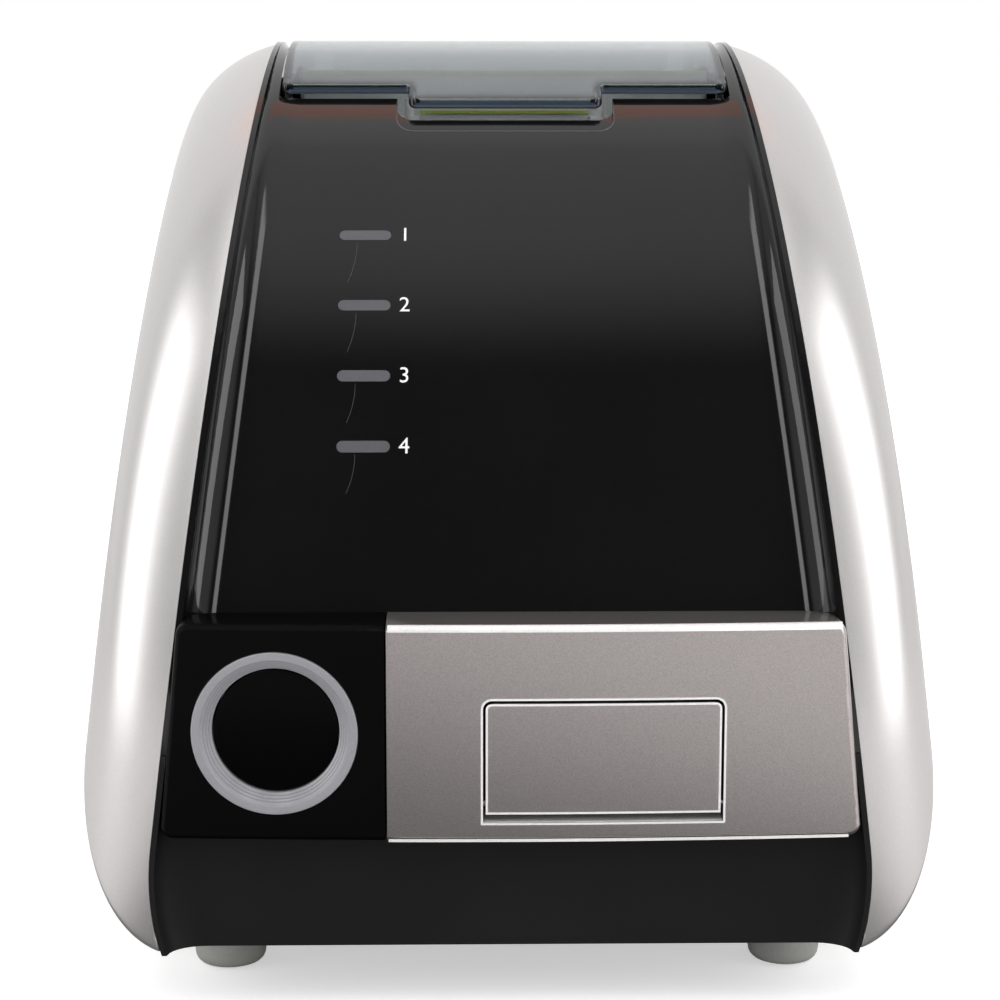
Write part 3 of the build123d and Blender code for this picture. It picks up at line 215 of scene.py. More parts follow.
looks = {
    "satin_silver": {"colour": (0.60, 0.585, 0.58), "rough": 0.29, "metal": 0.78, "flakes": 5000.0,
                     "sparkle": 0.03, "relief": 0.015, "fine": 1800.0, "wander": 0.01},
    "metallic_silver": {"colour": (0.46, 0.425, 0.42), "rough": 0.28, "metal": 0.86,
                        "flakes": 8000.0, "sparkle": 0.16, "relief": 0.015, "fine": 1800.0,
                        "wander": 0.01},
    "gloss_black": {"colour": (0.0055, 0.005, 0.0052), "rough": 0.06, "swing": 0.2,
                    "wander": 0.02, "relief": 0.01, "broad": 18.0, "fine": 900.0},
    "matt_charcoal": {"colour": (0.0105, 0.0098, 0.0102), "rough": 0.55, "relief": 0.3,
                      "specular": 0.2, "fine": 3000.0, "swing": 0.15},
    "matt_black": {"colour": (0.0022, 0.0021, 0.0023), "rough": 0.42, "relief": 0.25,
                   "specular": 0.05, "fine": 3200.0, "swing": 0.2},
    # smoked_plastic also carries a painted shade: the dark tint of the lid's cut edges
    "smoked_plastic": {"colour": (0.50, 0.545, 0.565), "rough": 0.05, "wander": 0.02,
                       "clear": 0.92, "relief": 0.01, "swing": 0.04,
                       "rim": (0.004, 0.008, 0.015)},
    "white_plastic": {"colour": (0.80, 0.80, 0.78), "rough": 0.45},
    "lime_plastic": {"colour": (0.58, 0.66, 0.14), "rough": 0.4},
    "frosted_plastic": {"colour": (0.29, 0.29, 0.31), "rough": 0.26, "fine": 2600.0},
    "grey_lens": {"colour": (0.092, 0.092, 0.102), "rough": 0.3, "swing": 0.12},
    "grey_rubber": {"colour": (0.38, 0.38, 0.36), "rough": 0.6, "relief": 0.4},
    "black_rubber": {"colour": (0.02, 0.02, 0.02), "rough": 0.7, "relief": 0.5},
    "dark_plastic": {"colour": (0.035, 0.035, 0.038), "rough": 0.5, "relief": 0.4},
    "zinc_steel": {"colour": (0.55, 0.56, 0.57), "rough": 0.32, "metal": 1.0,
                   "stretch": (1, 1, 12), "fine": 700.0, "swing": 0.12},
    "screw_steel": {"colour": (0.62, 0.62, 0.62), "rough": 0.25, "metal": 1.0},
    "cast_aluminium": {"colour": (0.56, 0.57, 0.58), "rough": 0.45, "metal": 1.0,
                       "relief": 0.6, "fine": 1200.0},
    "brass": {"colour": (0.66, 0.48, 0.20), "rough": 0.28, "metal": 1.0},
    "motor_black": {"colour": (0.022, 0.022, 0.024), "rough": 0.4, "relief": 0.4},
    "mirror_face": {"colour": (0.9, 0.9, 0.9), "rough": 0.03, "metal": 1.0, "wander": 0.01,
                    "relief": 0.01},
    "lens_glass": {"colour": (0.92, 0.95, 0.97), "rough": 0.02, "clear": 1.0, "relief": 0.0,
                   "wander": 0.01},
    "circuit_board": {"colour": (0.035, 0.19, 0.08), "rough": 0.35, "mask": (0.03, 0.16, 0.07),
                      "tracks": (0.12, 0.38, 0.18), "tiles": 180.0, "line": 0.03},
}
materials = {slotName: finish(slotName, look) for slotName, look in looks.items()}

for nodeName, piece in nodes.items():
    piece.data.materials.clear()
    piece.data.materials.append(materials[slotOf[nodeName]])
print("stage: materials made,", len(materials))


# Smooth copies of the curved covers, with the normals of the true curve

channels = ("frontChannel", "rearChannel", "crestChannel")


def sunkShare(inset):
    # how deep the cove is at a distance from its rim, as a share of its depth
    share = np.clip(inset / housing["coveWidth"], 0, 1)
    return np.sqrt(np.clip(1 - (1 - share) ** 2, 0, 1))


def archField(points, front, rear, crest):
    # zero on an arch that lies these depths inside the housing's outline, for points in millimetres
    h = housing
    y, z = points[:, 1], points[:, 2]
    spring = np.where(y < 0, h["spring"], h["rearSpring"])
    reach = np.where(y < 0, h["front"] - front, h["rear"] - rear)
    up = np.clip(z - spring, 0, None) / (h["crest"] - crest - spring)
    return np.sqrt((y / reach) ** 2 + up ** 2) - 1


def channelField(points):
    # zero on the outer face of the covers
    h = housing
    inset = (coreHalf(points[:, 2]) - np.abs(points[:, 0])) * math.cos(h["lean"])
    sunk = sunkShare(inset - h["gap"] - h["rimWidth"])
    return archField(points, *(h["rimDrop"] + (h[name] - h["rimDrop"]) * sunk for name in channels))


def recessField(points):
    # zero on the floor of the finger recess below the lid's tab
    return archField(points, *(housing[name] + housing["recess"] for name in channels))


def lidField(points):
    return archField(points, lid["drop"], lid["drop"], lid["drop"])


band = {"front": 146.5, "bow": 3.0, "bowHalf": 88.0, "split": -31.3, "bottom": 48.3, "top": 103.5,
        "edge": 2.3, "topEnd": 81.9, "lowEnd": 84.6}
band["radius"] = (band["bowHalf"] ** 2 + band["bow"] ** 2) / (2 * band["bow"])
band["centre"] = band["radius"] - band["front"]


def bowField(points):
    reach = np.hypot(points[:, 0], points[:, 1] - band["centre"])
    return (reach - band["radius"]) / band["front"]


def slopeOf(field, points):
    step = 0.01
    slope = np.zeros_like(points)
    for axis in range(3):
        shift = step * np.eye(3)[axis]
        slope[:, axis] = field(points + shift) - field(points - shift)
    length = np.linalg.norm(slope, axis=1, keepdims=True)
    return slope / np.maximum(length, 1e-12)


def linked(name, data):
    piece = bpy.data.objects.new(name, data)
    bpy.context.scene.collection.objects.link(piece)
    return piece


def readAll(items, name, width, kind=float):
    values = np.zeros(len(items) * width, dtype=kind)
    items.foreach_get(name, values)
    return values.reshape(-1, width) if width > 1 else values


def smoothFaces(mesh, angle, fields=()):
    # corners near the zero of a field take the field's slope as their normal
    mesh.polygons.foreach_set("use_smooth", [True] * len(mesh.polygons))
    mesh.set_sharp_from_angle(angle=math.radians(angle))
    mesh.update()
    normals = readAll(mesh.corner_normals, "vector", 3)
    points = readAll(mesh.vertices, "co", 3)[readAll(mesh.loops, "vertex_index", 1, int)] / mm
    faceOfCorner = np.repeat(readAll(mesh.polygons, "normal", 3),
                             readAll(mesh.polygons, "loop_total", 1, int), axis=0)
    for field in fields:
        slope = slopeOf(field, points)
        near = np.abs(field(points)) * housing["front"] < nearCurve["distance"]
        along = (slope * faceOfCorner).sum(axis=1)
        pick = near & (along > nearCurve["along"])
        normals[pick] = slope[pick]
    mesh.normals_split_custom_set([tuple(n) for n in normals])


def meshPiece(work, name, angle, material=None, fields=(), turn=None):
    # ends a build: faces outward, smooth where the angle is small, one material
    bmesh.ops.recalc_face_normals(work, faces=work.faces)
    mesh = bpy.data.meshes.new(name)
    work.to_mesh(mesh)
    work.free()
    if turn:
        mesh.transform(turn)
    smoothFaces(mesh, angle, fields)
    if material:
        mesh.materials.append(material)
    return linked(name, mesh)


def ringOf(work, points):
    return [work.verts.new(tuple(c * mm for c in point)) for point in points]


def joinRings(work, lower, upper, flip):
    for k in range(len(lower)):
        n = (k + 1) % len(lower)
        corners = [lower[k], lower[n], upper[n], upper[k]]
        work.faces.new(corners if flip else corners[::-1])


def loft(work, rings):
    # a closed body through rings of as many points each
    for lower, upper in zip(rings, rings[1:]):
        joinRings(work, lower, upper, False)
    work.faces.new(rings[0])
    work.faces.new(rings[-1])


def circle(count):
    # the angles of so many corners
    return [2 * math.pi * k / count for k in range(count)]


def dressed(nodeName, fields):
    # the node's own mesh with its seams merged and its curves smoothed
    newName = nodeName + "_skin"
    mesh = nodes[nodeName].data.copy()
    mesh.name = newName
    work = bmesh.new()
    work.from_mesh(mesh)
    bmesh.ops.remove_doubles(work, verts=work.verts, dist=doubles)
    bmesh.ops.dissolve_degenerate(work, dist=doubles / 2, edges=work.edges)
    work.to_mesh(mesh)
    work.free()
    piece = linked(newName, mesh)
    smoothFaces(mesh, sharp["cover"], fields)
    mesh.materials.clear()
    mesh.materials.append(materials[slotOf[nodeName]])
    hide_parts(nodeName)
    body = next(b for b, members in frame["record"]["behaviour"]["bodies"].items()
                if nodeName in members)
    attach(piece, body)


skins = {"front_cover": [channelField, recessField], "rear_cover": [channelField],
         "base_pan": [channelField], "button_panel": [bowField], "outlet_panel": [bowField],
         "outlet_door": [bowField]}
for nodeName, fields in skins.items():
    dressed(nodeName, fields)
print("stage: covers dressed")


# Strips on the pan, whose cove keeps to the shells down to their tips

panStrip = {"proud": 0.03, "rows": 24, "columns": 20, "past": 1.0, "thick": 1.0}


def panCove(name, side, facing):
    h, p = housing, panStrip
    end = "front" if facing < 0 else "rear"
    reach, channel = h[end], h[end + "Channel"]
    first = h["gap"] + p["proud"]
    last = h["gap"] + h["rimWidth"] + h["coveWidth"] + p["past"]
    work = bmesh.new()
    layers = []
    for row in range(p["rows"] + 1):
        z = h["base"] + (h["turnHeight"] + p["past"] - h["base"]) * row / p["rows"]
        line = []
        for column in range(p["columns"] + 1):
            inset = first + (last - first) * column / p["columns"]
            sunk = sunkShare(inset - h["gap"] - h["rimWidth"])
            level = reach - h["rimDrop"] - (channel - h["rimDrop"]) * sunk + p["proud"]
            line.append((coreSide(z) - inset / math.cos(h["lean"]), level))
        back = reach - channel - p["thick"]
        line += [(line[-1][0], back), (line[0][0], back)]
        layers.append(ringOf(work, [(side * x, facing * y, z) for x, y in line]))
    loft(work, layers)
    piece = meshPiece(work, name, sharp["small"], materials["matt_charcoal"])
    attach(piece, "housing")


# Side shells: a pillow over the side outline, closed at the core face

shellLook = {"depth": 20.8, "inside": 11.0, "frontRound": 21.6, "crestRound": 22.6,
             "rearRound": 21.6, "footRound": 53.0, "innerMiddle": 100.0, "edge": 0.45,
             "across": 40, "around": 300, "innerRings": (0.94, 0.84, 0.68, 0.48, 0.26),
             "outerRings": [1 - step / 6 for step in range(1, 6)], "halvings": 26, "touch": 0.001,
             "runs": (0.03, 0.08, 0.34, 0.26, 0.12, 0.03, 0.14)}


def outlinePoint(share, t):
    # t runs from 0 to 1 once round the outline, and each stretch has its share of it in runs
    h, s = housing, shellLook
    lean = math.cos(h["lean"])
    front = h["front"] - s["frontRound"] * share
    rear = h["rear"] - s["rearRound"] * share
    crest = (h["crest"] - s["crestRound"] * share) / lean
    foot = (h["base"] + s["footRound"] * share) / lean
    spring = (h["spring"] + s["footRound"] * share / 2) / lean
    rearSpring = h["rearSpring"] / lean
    corner = h["corner"]
    low = foot + corner
    places = [
        lambda a: (-front + corner * (1 - math.sin(a)), foot + corner * (1 - math.cos(a))),
        lambda a: (-front, low + (spring - low) * a / quarter),
        lambda a: (-front * math.cos(a), spring + (crest - spring) * math.sin(a)),
        lambda a: (rear * math.sin(a), rearSpring + (crest - rearSpring) * math.cos(a)),
        lambda a: (rear, rearSpring + (low - rearSpring) * a / quarter),
        lambda a: (rear - corner * (1 - math.cos(a)), foot + corner * (1 - math.sin(a))),
        lambda a: (rear - corner - (rear + front - 2 * corner) * a / quarter, foot),
    ]
    for width, place in zip(s["runs"], places):
        if t <= width:
            return place(t / width * quarter)
        t -= width
    return places[-1](quarter)


def shellPoint(offset, t):
    h, s = housing, shellLook
    reach = s["inside"] + s["depth"]
    lift = min(1.0, (offset + s["inside"]) / reach)
    share = 1 - math.sqrt(max(0.0, 1 - lift ** 2))
    y, v = outlinePoint(share, t)
    x = coreHalf(0) + offset / math.cos(h["lean"]) - v * math.sin(h["lean"])
    return x, y, v * math.cos(h["lean"])


def seamOffset(t):
    # where the pillow meets the core face, at or inside the leaning plane
    low, high = -shellLook["inside"], 0.0
    x, y, z = shellPoint(high, t)
    if x <= coreSide(z) + shellLook["touch"]:
        return high
    for halving in range(shellLook["halvings"]):
        middle = (low + high) / 2
        x, y, z = shellPoint(middle, t)
        if x > coreSide(z):
            high = middle
        else:
            low = middle
    return high


def sideShell(name, side):
    s = shellLook
    count = s["around"]
    reach = s["inside"] + s["depth"]
    work = bmesh.new()
    rings = []
    begins = [math.asin(min(1.0, (seamOffset(k / count) + s["inside"]) / reach))
              for k in range(count)]
    for step in range(s["across"] + 1):
        ring = []
        for k, begin in enumerate(begins):
            angle = begin + (quarter - begin) * step / s["across"]
            x, y, z = shellPoint(reach * math.sin(angle) - s["inside"], k / count)
            ring.append((side * x, y, z))
        rings.append(ringOf(work, ring))
    for lower, upper in zip(rings, rings[1:]):
        joinRings(work, lower, upper, side < 0)
    centre = sum((v.co for v in rings[-1]), Vector()) / count
    closeWith(work, rings[-1], side < 0, s["outerRings"],
              lambda place, share: centre + (place - centre) * share)
    closeWith(work, rings[0], side > 0, s["innerRings"],
              lambda place, share: corePoint(side, place, share))
    seam = rings[0]
    seamEdges = [work.edges.get((seam[k], seam[(k + 1) % count])) for k in range(count)]
    bmesh.ops.bevel(work, geom=seamEdges, offset=s["edge"] * mm, segments=3, profile=0.5,
                    affect="EDGES", clamp_overlap=True)
    bmesh.ops.remove_doubles(work, verts=work.verts, dist=doubles / 2)
    bmesh.ops.dissolve_degenerate(work, dist=doubles / 2, edges=work.edges)
    return meshPiece(work, name, sharp["shell"], materials["satin_silver"])


def closeWith(work, ring, flip, shares, shrunk):
    # smaller rings one in the other, and a fan to the middle
    last = ring
    for share in shares:
        nextRing = [work.verts.new(shrunk(v.co, share)) for v in ring]
        joinRings(work, last, nextRing, flip)
        last = nextRing
    middle = work.verts.new(shrunk(ring[0].co, 0))
    for k in range(len(last)):
        corners = [last[k], last[(k + 1) % len(last)], middle]
        work.faces.new(corners if flip else corners[::-1])


def corePoint(side, place, share):
    # lies along the core, so that nothing of the inner face shows in the channel
    middle = shellLook["innerMiddle"]
    z = middle + (place.z / mm - middle) * share
    return side * coreSide(z) * mm, place.y * share, z * mm


for shellName, nodeName, side in (("shell_left", "left_side_shell", -1),
                                  ("shell_right", "right_side_shell", 1)):
    shell = sideShell(shellName, side)
    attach(shell, "housing")
    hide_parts(nodeName)
print("stage: side shells made")


# Small round pieces: ring, button and feet, turned from a profile

button = {"x": -58.9, "height": 76.0, "ringRadius": 20.8, "faceRadius": 18.4, "boreRadius": 15.9,
          "dish": 3.2, "depth": 6.0, "flangeRadius": 22.6, "flangeFront": -2.7,
          "capRadius": 15.6, "capSetback": 0.2, "capThick": 2.6, "crown": 0.5, "segments": 160,
          "steps": 4, "riser": 0.55, "tread": 0.9, "stepRound": 0.12, "crownSteps": 10,
          "flatEdge": (0.3, -0.06), "stemRadius": 3.0, "stemEnd": -11.3,
          "look": {"colour": (0.002, 0.0019, 0.0021), "rough": 0.22, "specular": 0.05,
                   "relief": 0.02}}


def bowY(x):
    return band["centre"] - math.sqrt(band["radius"] ** 2 - x ** 2)


def placedOn(side, up, out, origin):
    return Matrix.Translation(origin * mm) @ Matrix((side, up, out)).transposed().to_4x4()


def buttonFrame():
    # the button's own axes: out of the panel is Z
    origin = Vector((button["x"], bowY(button["x"]), button["height"]))
    out = Vector((button["x"], origin.y - band["centre"], 0)).normalized()
    side = Vector((-out.y, out.x, 0))
    up = out.cross(side)
    return placedOn(side, up, out, origin)


def rounded(profile, radii, steps=5):
    # a profile whose corners are rounded where radii gives a radius
    points = []
    count = len(profile)
    for k, (corner, radius) in enumerate(zip(profile, radii)):
        here = Vector(corner)
        before = Vector(profile[k - 1]) - here
        after = Vector(profile[(k + 1) % count]) - here
        if radius <= 0:
            points.append(here)
            continue
        reach = min(radius, before.length * 0.49, after.length * 0.49)
        start = here + before.normalized() * reach
        end = here + after.normalized() * reach
        for step in range(steps + 1):
            t = step / steps
            points.append(start * (1 - t) ** 2 + here * 2 * t * (1 - t) + end * t ** 2)
    return points


def turned(name, profile, radii, place, segments, angle=sharp["small"], material=None):
    # a closed profile of (radius, height) turned round Z; points on the axis close its ends
    points = rounded(profile, radii)
    work = bmesh.new()
    rings = []
    for point in points:
        turns = circle(segments) if point.x > 0 else [0.0]
        rings.append(ringOf(work, [(point.x * math.cos(a), point.x * math.sin(a), point.y)
                                   for a in turns]))
    for lower, upper in zip(rings, rings[1:] + rings[:1]):
        if len(lower) == 1 and len(upper) == 1:
            continue
        for k in range(segments):
            n = (k + 1) % segments
            corners = [lower[k % len(lower)], lower[n % len(lower)],
                       upper[n % len(upper)], upper[k % len(upper)]]
            distinct = list(dict.fromkeys(corners))
            if len(distinct) > 2:
                work.faces.new(distinct)
    return meshPiece(work, name, angle, material, turn=place)


def ringProfile():
    # the face goes down to the bore in fine steps
    b = button
    wide, deep = b["flatEdge"]
    points = [(b["ringRadius"], 0.0), (b["faceRadius"] + wide, deep)]
    radii = [0.5, 0.15]
    steps = b["steps"]
    across = (b["faceRadius"] - b["boreRadius"]) / steps
    for step in range(steps):
        # each step is a short riser and a tread that leans down to the bore
        radius = b["faceRadius"] - across * step
        riser = -b["dish"] * (step + b["riser"]) / steps
        tread = -b["dish"] * (step + 1) / steps
        points += [(radius, riser), (radius - across * b["tread"], tread)]
        radii += [b["stepRound"]] * 2
    points += [(b["boreRadius"], -b["depth"]), (b["flangeRadius"], -b["depth"]),
               (b["flangeRadius"], b["flangeFront"]), (b["ringRadius"], b["flangeFront"])]
    radii += [0, 0, 0.2, 0]
    return points, radii


def capProfile():
    b = button
    top = -b["dish"] - b["capSetback"]
    bottom = top - b["capThick"]
    points = [(0.0, top)]
    steps = b["crownSteps"]
    for step in range(1, steps + 1):
        share = step / steps
        points.append((b["capRadius"] * share, top - b["crown"] * share ** 2))
    radii = [0] * steps + [0.3]
    points += [(b["capRadius"], bottom), (b["stemRadius"], bottom),
               (b["stemRadius"], b["stemEnd"]), (0.0, b["stemEnd"])]
    radii += [0.2, 0, 0.2, 0]
    return points, radii


lightRing = turned("light_ring_turned", *ringProfile(), buttonFrame(), button["segments"],
                   sharp["round"], materials["frosted_plastic"])
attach(lightRing, "housing")
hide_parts("light_ring")
cap = turned("power_button_turned", *capProfile(), buttonFrame(), button["segments"], sharp["round"],
             finish("button_black", button["look"]))
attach(cap, "button_body")
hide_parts("power_button")
print("stage: ring and button made")


# Pieces that repeat, placed on a grid by Geometry Nodes

def builtTree(name, inputs, material):
    # a group with named inputs, which ends in Realize Instances and Set Material
    group = bpy.data.node_groups.new(name, "GeometryNodeTree")
    for label, kind in inputs.items():
        group.interface.new_socket(label, in_out="INPUT", socket_type="NodeSocket" + kind)
    group.interface.new_socket("Result", in_out="OUTPUT", socket_type="NodeSocketGeometry")
    start = group.nodes.new("NodeGroupInput")
    real = group.nodes.new("GeometryNodeRealizeInstances")
    paint = add(group, "GeometryNodeSetMaterial",
                {"Geometry": real.outputs["Geometry"], "Material": material})
    add(group, "NodeGroupOutput", {"Result": paint.outputs["Geometry"]})
    return group, start.outputs, real.inputs["Geometry"]


def gridTree(name, material):
    inputs = {"Piece": "Geometry", "Spacing X": "Float", "Spacing Y": "Float",
              "Count X": "Int", "Count Y": "Int"}
    group, given, result = builtTree(name, inputs, material)
    grid = add(group, "GeometryNodeMeshGrid",
               {"Size X": given["Spacing X"], "Size Y": given["Spacing Y"],
                "Vertices X": given["Count X"], "Vertices Y": given["Count Y"]})
    place = add(group, "GeometryNodeInstanceOnPoints",
                {"Points": grid.outputs["Mesh"], "Instance": given["Piece"]})
    group.links.new(place.outputs["Instances"], result)
    return group


def applied(piece, name, group, values):
    # the mesh that the group makes of the piece, as a new piece without the modifier
    modifier = piece.modifiers.new("build", "NODES")
    modifier.node_group = group
    for item in group.interface.items_tree:
        if item.in_out == "INPUT" and item.name in values:
            modifier[item.identifier] = values[item.name]
    bpy.context.view_layer.update()
    graph = bpy.context.evaluated_depsgraph_get()
    mesh = bpy.data.meshes.new_from_object(piece.evaluated_get(graph))
    mesh.name = name
    bpy.data.objects.remove(piece)
    return linked(name, mesh)


def spreadOnGrid(piece, name, material, spacing, counts):
    values = {"Spacing X": spacing[0] * mm, "Spacing Y": spacing[1] * mm,
              "Count X": counts[0], "Count Y": counts[1]}
    result = applied(piece, name, gridTree(name + "_tree", material), values)
    smoothFaces(result.data, sharp["small"])
    return result


foot = {"spacing": (150.0, 195.0), "top": 17.0, "topRadius": 10.6, "bottomRadius": 9.4,
        "round": 3.2, "lip": 0.5, "lipHeight": 13.2, "lipSlope": 0.3, "recess": 3.0,
        "recessDepth": 4.0, "segments": 64, "counts": (2, 2)}


def footProfile():
    f = foot
    points = [(0.0, f["recessDepth"]), (f["recess"], f["recessDepth"]), (f["recess"], 0.0),
              (f["bottomRadius"], 0.0), (f["topRadius"] - f["lip"], f["lipHeight"]),
              (f["topRadius"], f["lipHeight"] + f["lipSlope"]), (f["topRadius"], f["top"]),
              (0.0, f["top"])]
    radii = [0, 0.3, 0.3, f["round"], 0.2, 0.3, 0, 0]
    return points, radii


oneFoot = turned("one_foot", *footProfile(), Matrix.Identity(4), foot["segments"])
feet = spreadOnGrid(oneFoot, "feet_turned", materials["grey_rubber"], foot["spacing"], foot["counts"])
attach(feet, "housing")
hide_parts("rubber_feet")
print("stage: feet made")


# Marks on the front: numbers beside the bars and a hairline arc under each

marks = {"top": 195.2, "pitch": 17.1, "count": 4, "size": 5.9, "left": -28.3, "thick": 0.02,
         "proud": 0.03, "arcWidth": 0.075, "arcLength": 9.5, "arcSwing": 2.2, "arcX": -39.3,
         "arcDrop": 1.9, "arcSteps": 12}


def frontY(z, proud=0.0):
    h = housing
    rise = h["crest"] - h["crestChannel"] - h["spring"]
    up = (z - h["spring"]) / rise
    return -(h["front"] - h["frontChannel"]) * math.sqrt(1 - up ** 2) - proud


def numberMesh(index):
    m = marks
    text = str(index + 1)
    curve = bpy.data.curves.new("number" + text, "FONT")
    curve.body = text
    curve.size = m["size"] * mm
    curve.align_y = "CENTER"
    curve.extrude = m["thick"] * mm
    holder = linked("number" + text, curve)
    bpy.context.view_layer.update()
    mesh = bpy.data.meshes.new_from_object(holder)
    bpy.data.objects.remove(holder)
    z = m["top"] - m["pitch"] * index
    step = 0.05
    up = Vector((0, frontY(z + step) - frontY(z - step), 2 * step)).normalized()
    side = Vector((1, 0, 0))
    place = Vector((m["left"], frontY(z, m["proud"]), z))
    mesh.transform(placedOn(side, up, side.cross(up), place))
    return mesh


def sweepTree(name, material):
    group, given, result = builtTree(name, {"Lines": "Geometry", "Radius": "Float"}, material)
    curve = add(group, "GeometryNodeMeshToCurve", {"Mesh": given["Lines"]})
    section = add(group, "GeometryNodeCurvePrimitiveCircle",
                  {"Resolution": 6, "Radius": given["Radius"]})
    sweep = add(group, "GeometryNodeCurveToMesh",
                {"Curve": curve.outputs["Curve"], "Profile Curve": section.outputs["Curve"],
                 "Fill Caps": True})
    group.links.new(sweep.outputs["Mesh"], result)
    return group


def hairlines(name, lines, radius, material):
    vertices = []
    edges = []
    for line in lines:
        first = len(vertices)
        vertices += [tuple(c * mm for c in point) for point in line]
        edges += [(first + k, first + k + 1) for k in range(len(line) - 1)]
    mesh = bpy.data.meshes.new(name)
    mesh.from_pydata(vertices, edges, [])
    group = sweepTree(name + "_tree", material)
    return applied(linked(name, mesh), name, group, {"Radius": radius * mm})


def arcLines():
    m = marks
    lines = []
    for index in range(m["count"]):
        top = m["top"] - m["pitch"] * index - m["arcDrop"]
        line = []
        for step in range(m["arcSteps"] + 1):
            share = step / m["arcSteps"]
            z = top - m["arcLength"] * share
            line.append((m["arcX"] - m["arcSwing"] * share ** 2, frontY(z, m["proud"]), z))
        lines.append(line)
    return lines


whitePaint = finish("white_marks", {"colour": (0.85, 0.85, 0.85), "rough": 0.4})
# this grey prints the hairline arcs and also paints a highlight on the finger recess's rounded edge
printAndHighlightGrey = finish("print_and_highlight_grey", {"colour": (0.10, 0.10, 0.105), "rough": 0.4})
numberWork = bmesh.new()
for index in range(marks["count"]):
    numberWork.from_mesh(numberMesh(index))
numbersData = bpy.data.meshes.new("front_numbers")
numberWork.to_mesh(numbersData)
numberWork.free()
numbersData.materials.append(whitePaint)
numbers = linked("front_numbers", numbersData)
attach(numbers, "housing")
arcs = hairlines("front_hairlines", arcLines(), marks["arcWidth"] / 2, printAndHighlightGrey)
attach(arcs, "housing")
print("stage: marks made")


# Lid: a curved sheet with rounded edges and a finger tab

lid = {"half": 61.1, "front": 49.6, "rear": 47.5, "tabHalf": 26.4, "tabFront": 56.7, "drop": 0.4,
       "thick": 2.3, "corner": 1.2, "tabCorner": 2.0, "inner": 0.8, "edge": 0.9, "edgeSteps": 5,
       "rimLeast": 0.25, "lip": 0.6, "lipInset": 1.3, "rows": 40, "columns": 24, "rowMargin": 0.6,
       "sideMargin": 0.8, "skirtWall": 2.2, "skirtDepth": 5.0, "skirtBack": 6.0, "skirtGap": 0.25,
       "skirtEnd": 3.0, "seat": 0.02, "hingeY": 44.0, "hingeHeight": 233.4, "hingeRadius": 3.4,
       "boreRadius": 1.55, "knuckle": (46.4, 51.4), "knuckleHalf": 2.4, "knuckleSegments": 32}


def lidOutline(inset):
    # the place and radius of each corner; the two inner corners by the tab turn the other way
    d = lid
    half = d["half"] - inset
    tab = d["tabHalf"] - inset
    front = -d["front"] + inset
    tabFront = -d["tabFront"] + inset
    rear = d["rear"] - inset
    corner = d["corner"] - inset
    left = [(-half, front, corner), (-tab, front, d["inner"] + inset),
            (-tab, tabFront, d["tabCorner"] - inset)]
    right = [(-x, y, radius) for x, y, radius in left[::-1]]
    return evenly(roundCorners(left + right + [(half, rear, corner), (-half, rear, corner)]))


def roundCorners(corners, steps=6):
    # all corners are square before they are rounded
    points = []
    for k, (x, y, radius) in enumerate(corners):
        here = Vector((x, y))
        before = (Vector(corners[k - 1][:2]) - here).normalized()
        after = (Vector(corners[(k + 1) % len(corners)][:2]) - here).normalized()
        radius = max(0.05, radius)
        centre = here + (before + after) * radius
        start = here + before * radius - centre
        end = here + after * radius - centre
        for step in range(steps + 1):
            t = step / steps * quarter
            spot = centre + start * math.cos(t) + end * math.sin(t)
            points.append((spot.x, spot.y))
    return points


def evenly(points, longRun=4, parts=24):
    # long straight runs get points between, the same number for every inset
    result = []
    for k, here in enumerate(points):
        there = points[(k + 1) % len(points)]
        result.append(here)
        if math.dist(here, there) < longRun:
            continue
        for step in range(1, parts):
            t = step / parts
            result.append((here[0] + (there[0] - here[0]) * t, here[1] + (there[1] - here[1]) * t))
    return result


def archZ(y, front, rear, crest):
    # the height of an arch that lies these depths inside the housing's outline
    h = housing
    reach = h["front"] - front if y < 0 else h["rear"] - rear
    spring = h["spring"] if y < 0 else h["rearSpring"]
    return spring + (h["crest"] - crest - spring) * math.sqrt(max(0.0, 1 - (y / reach) ** 2))


def lidZ(y, depth):
    depth += lid["drop"]
    return archZ(y, depth, depth, depth)


def lidSheet(work):
    d = lid
    rimOf = work.verts.layers.float.new("rim")
    bottom = d["thick"] + d["lip"]
    turns = [quarter * step / d["edgeSteps"] for step in range(d["edgeSteps"] + 1)]
    upper = [(d["edge"] * (1 - math.cos(a)), d["edge"] * (1 - math.sin(a))) for a in turns]
    rings = [(d["lipInset"] + d["lip"], d["thick"]), (d["lipInset"], bottom)]
    rings += [(inset, bottom - depth) for inset, depth in upper[-2::-1]] + upper
    layers = []
    for inset, depth in rings:
        layers.append(ringOf(work, [(x, y, lidZ(y, depth)) for x, y in lidOutline(inset)]))
        for vertex in layers[-1]:
            # painted shade: the dark edge tint grows with depth down the rounded edge, least on the top
            # rounding
            vertex[rimOf] = min(1.0, d["rimLeast"] + depth / d["edge"])
    for lower, upper in zip(layers, layers[1:]):
        joinRings(work, lower, upper, True)
    lidFace(work, layers[0], rings[0], True)
    lidFace(work, layers[-1], rings[-1], False)


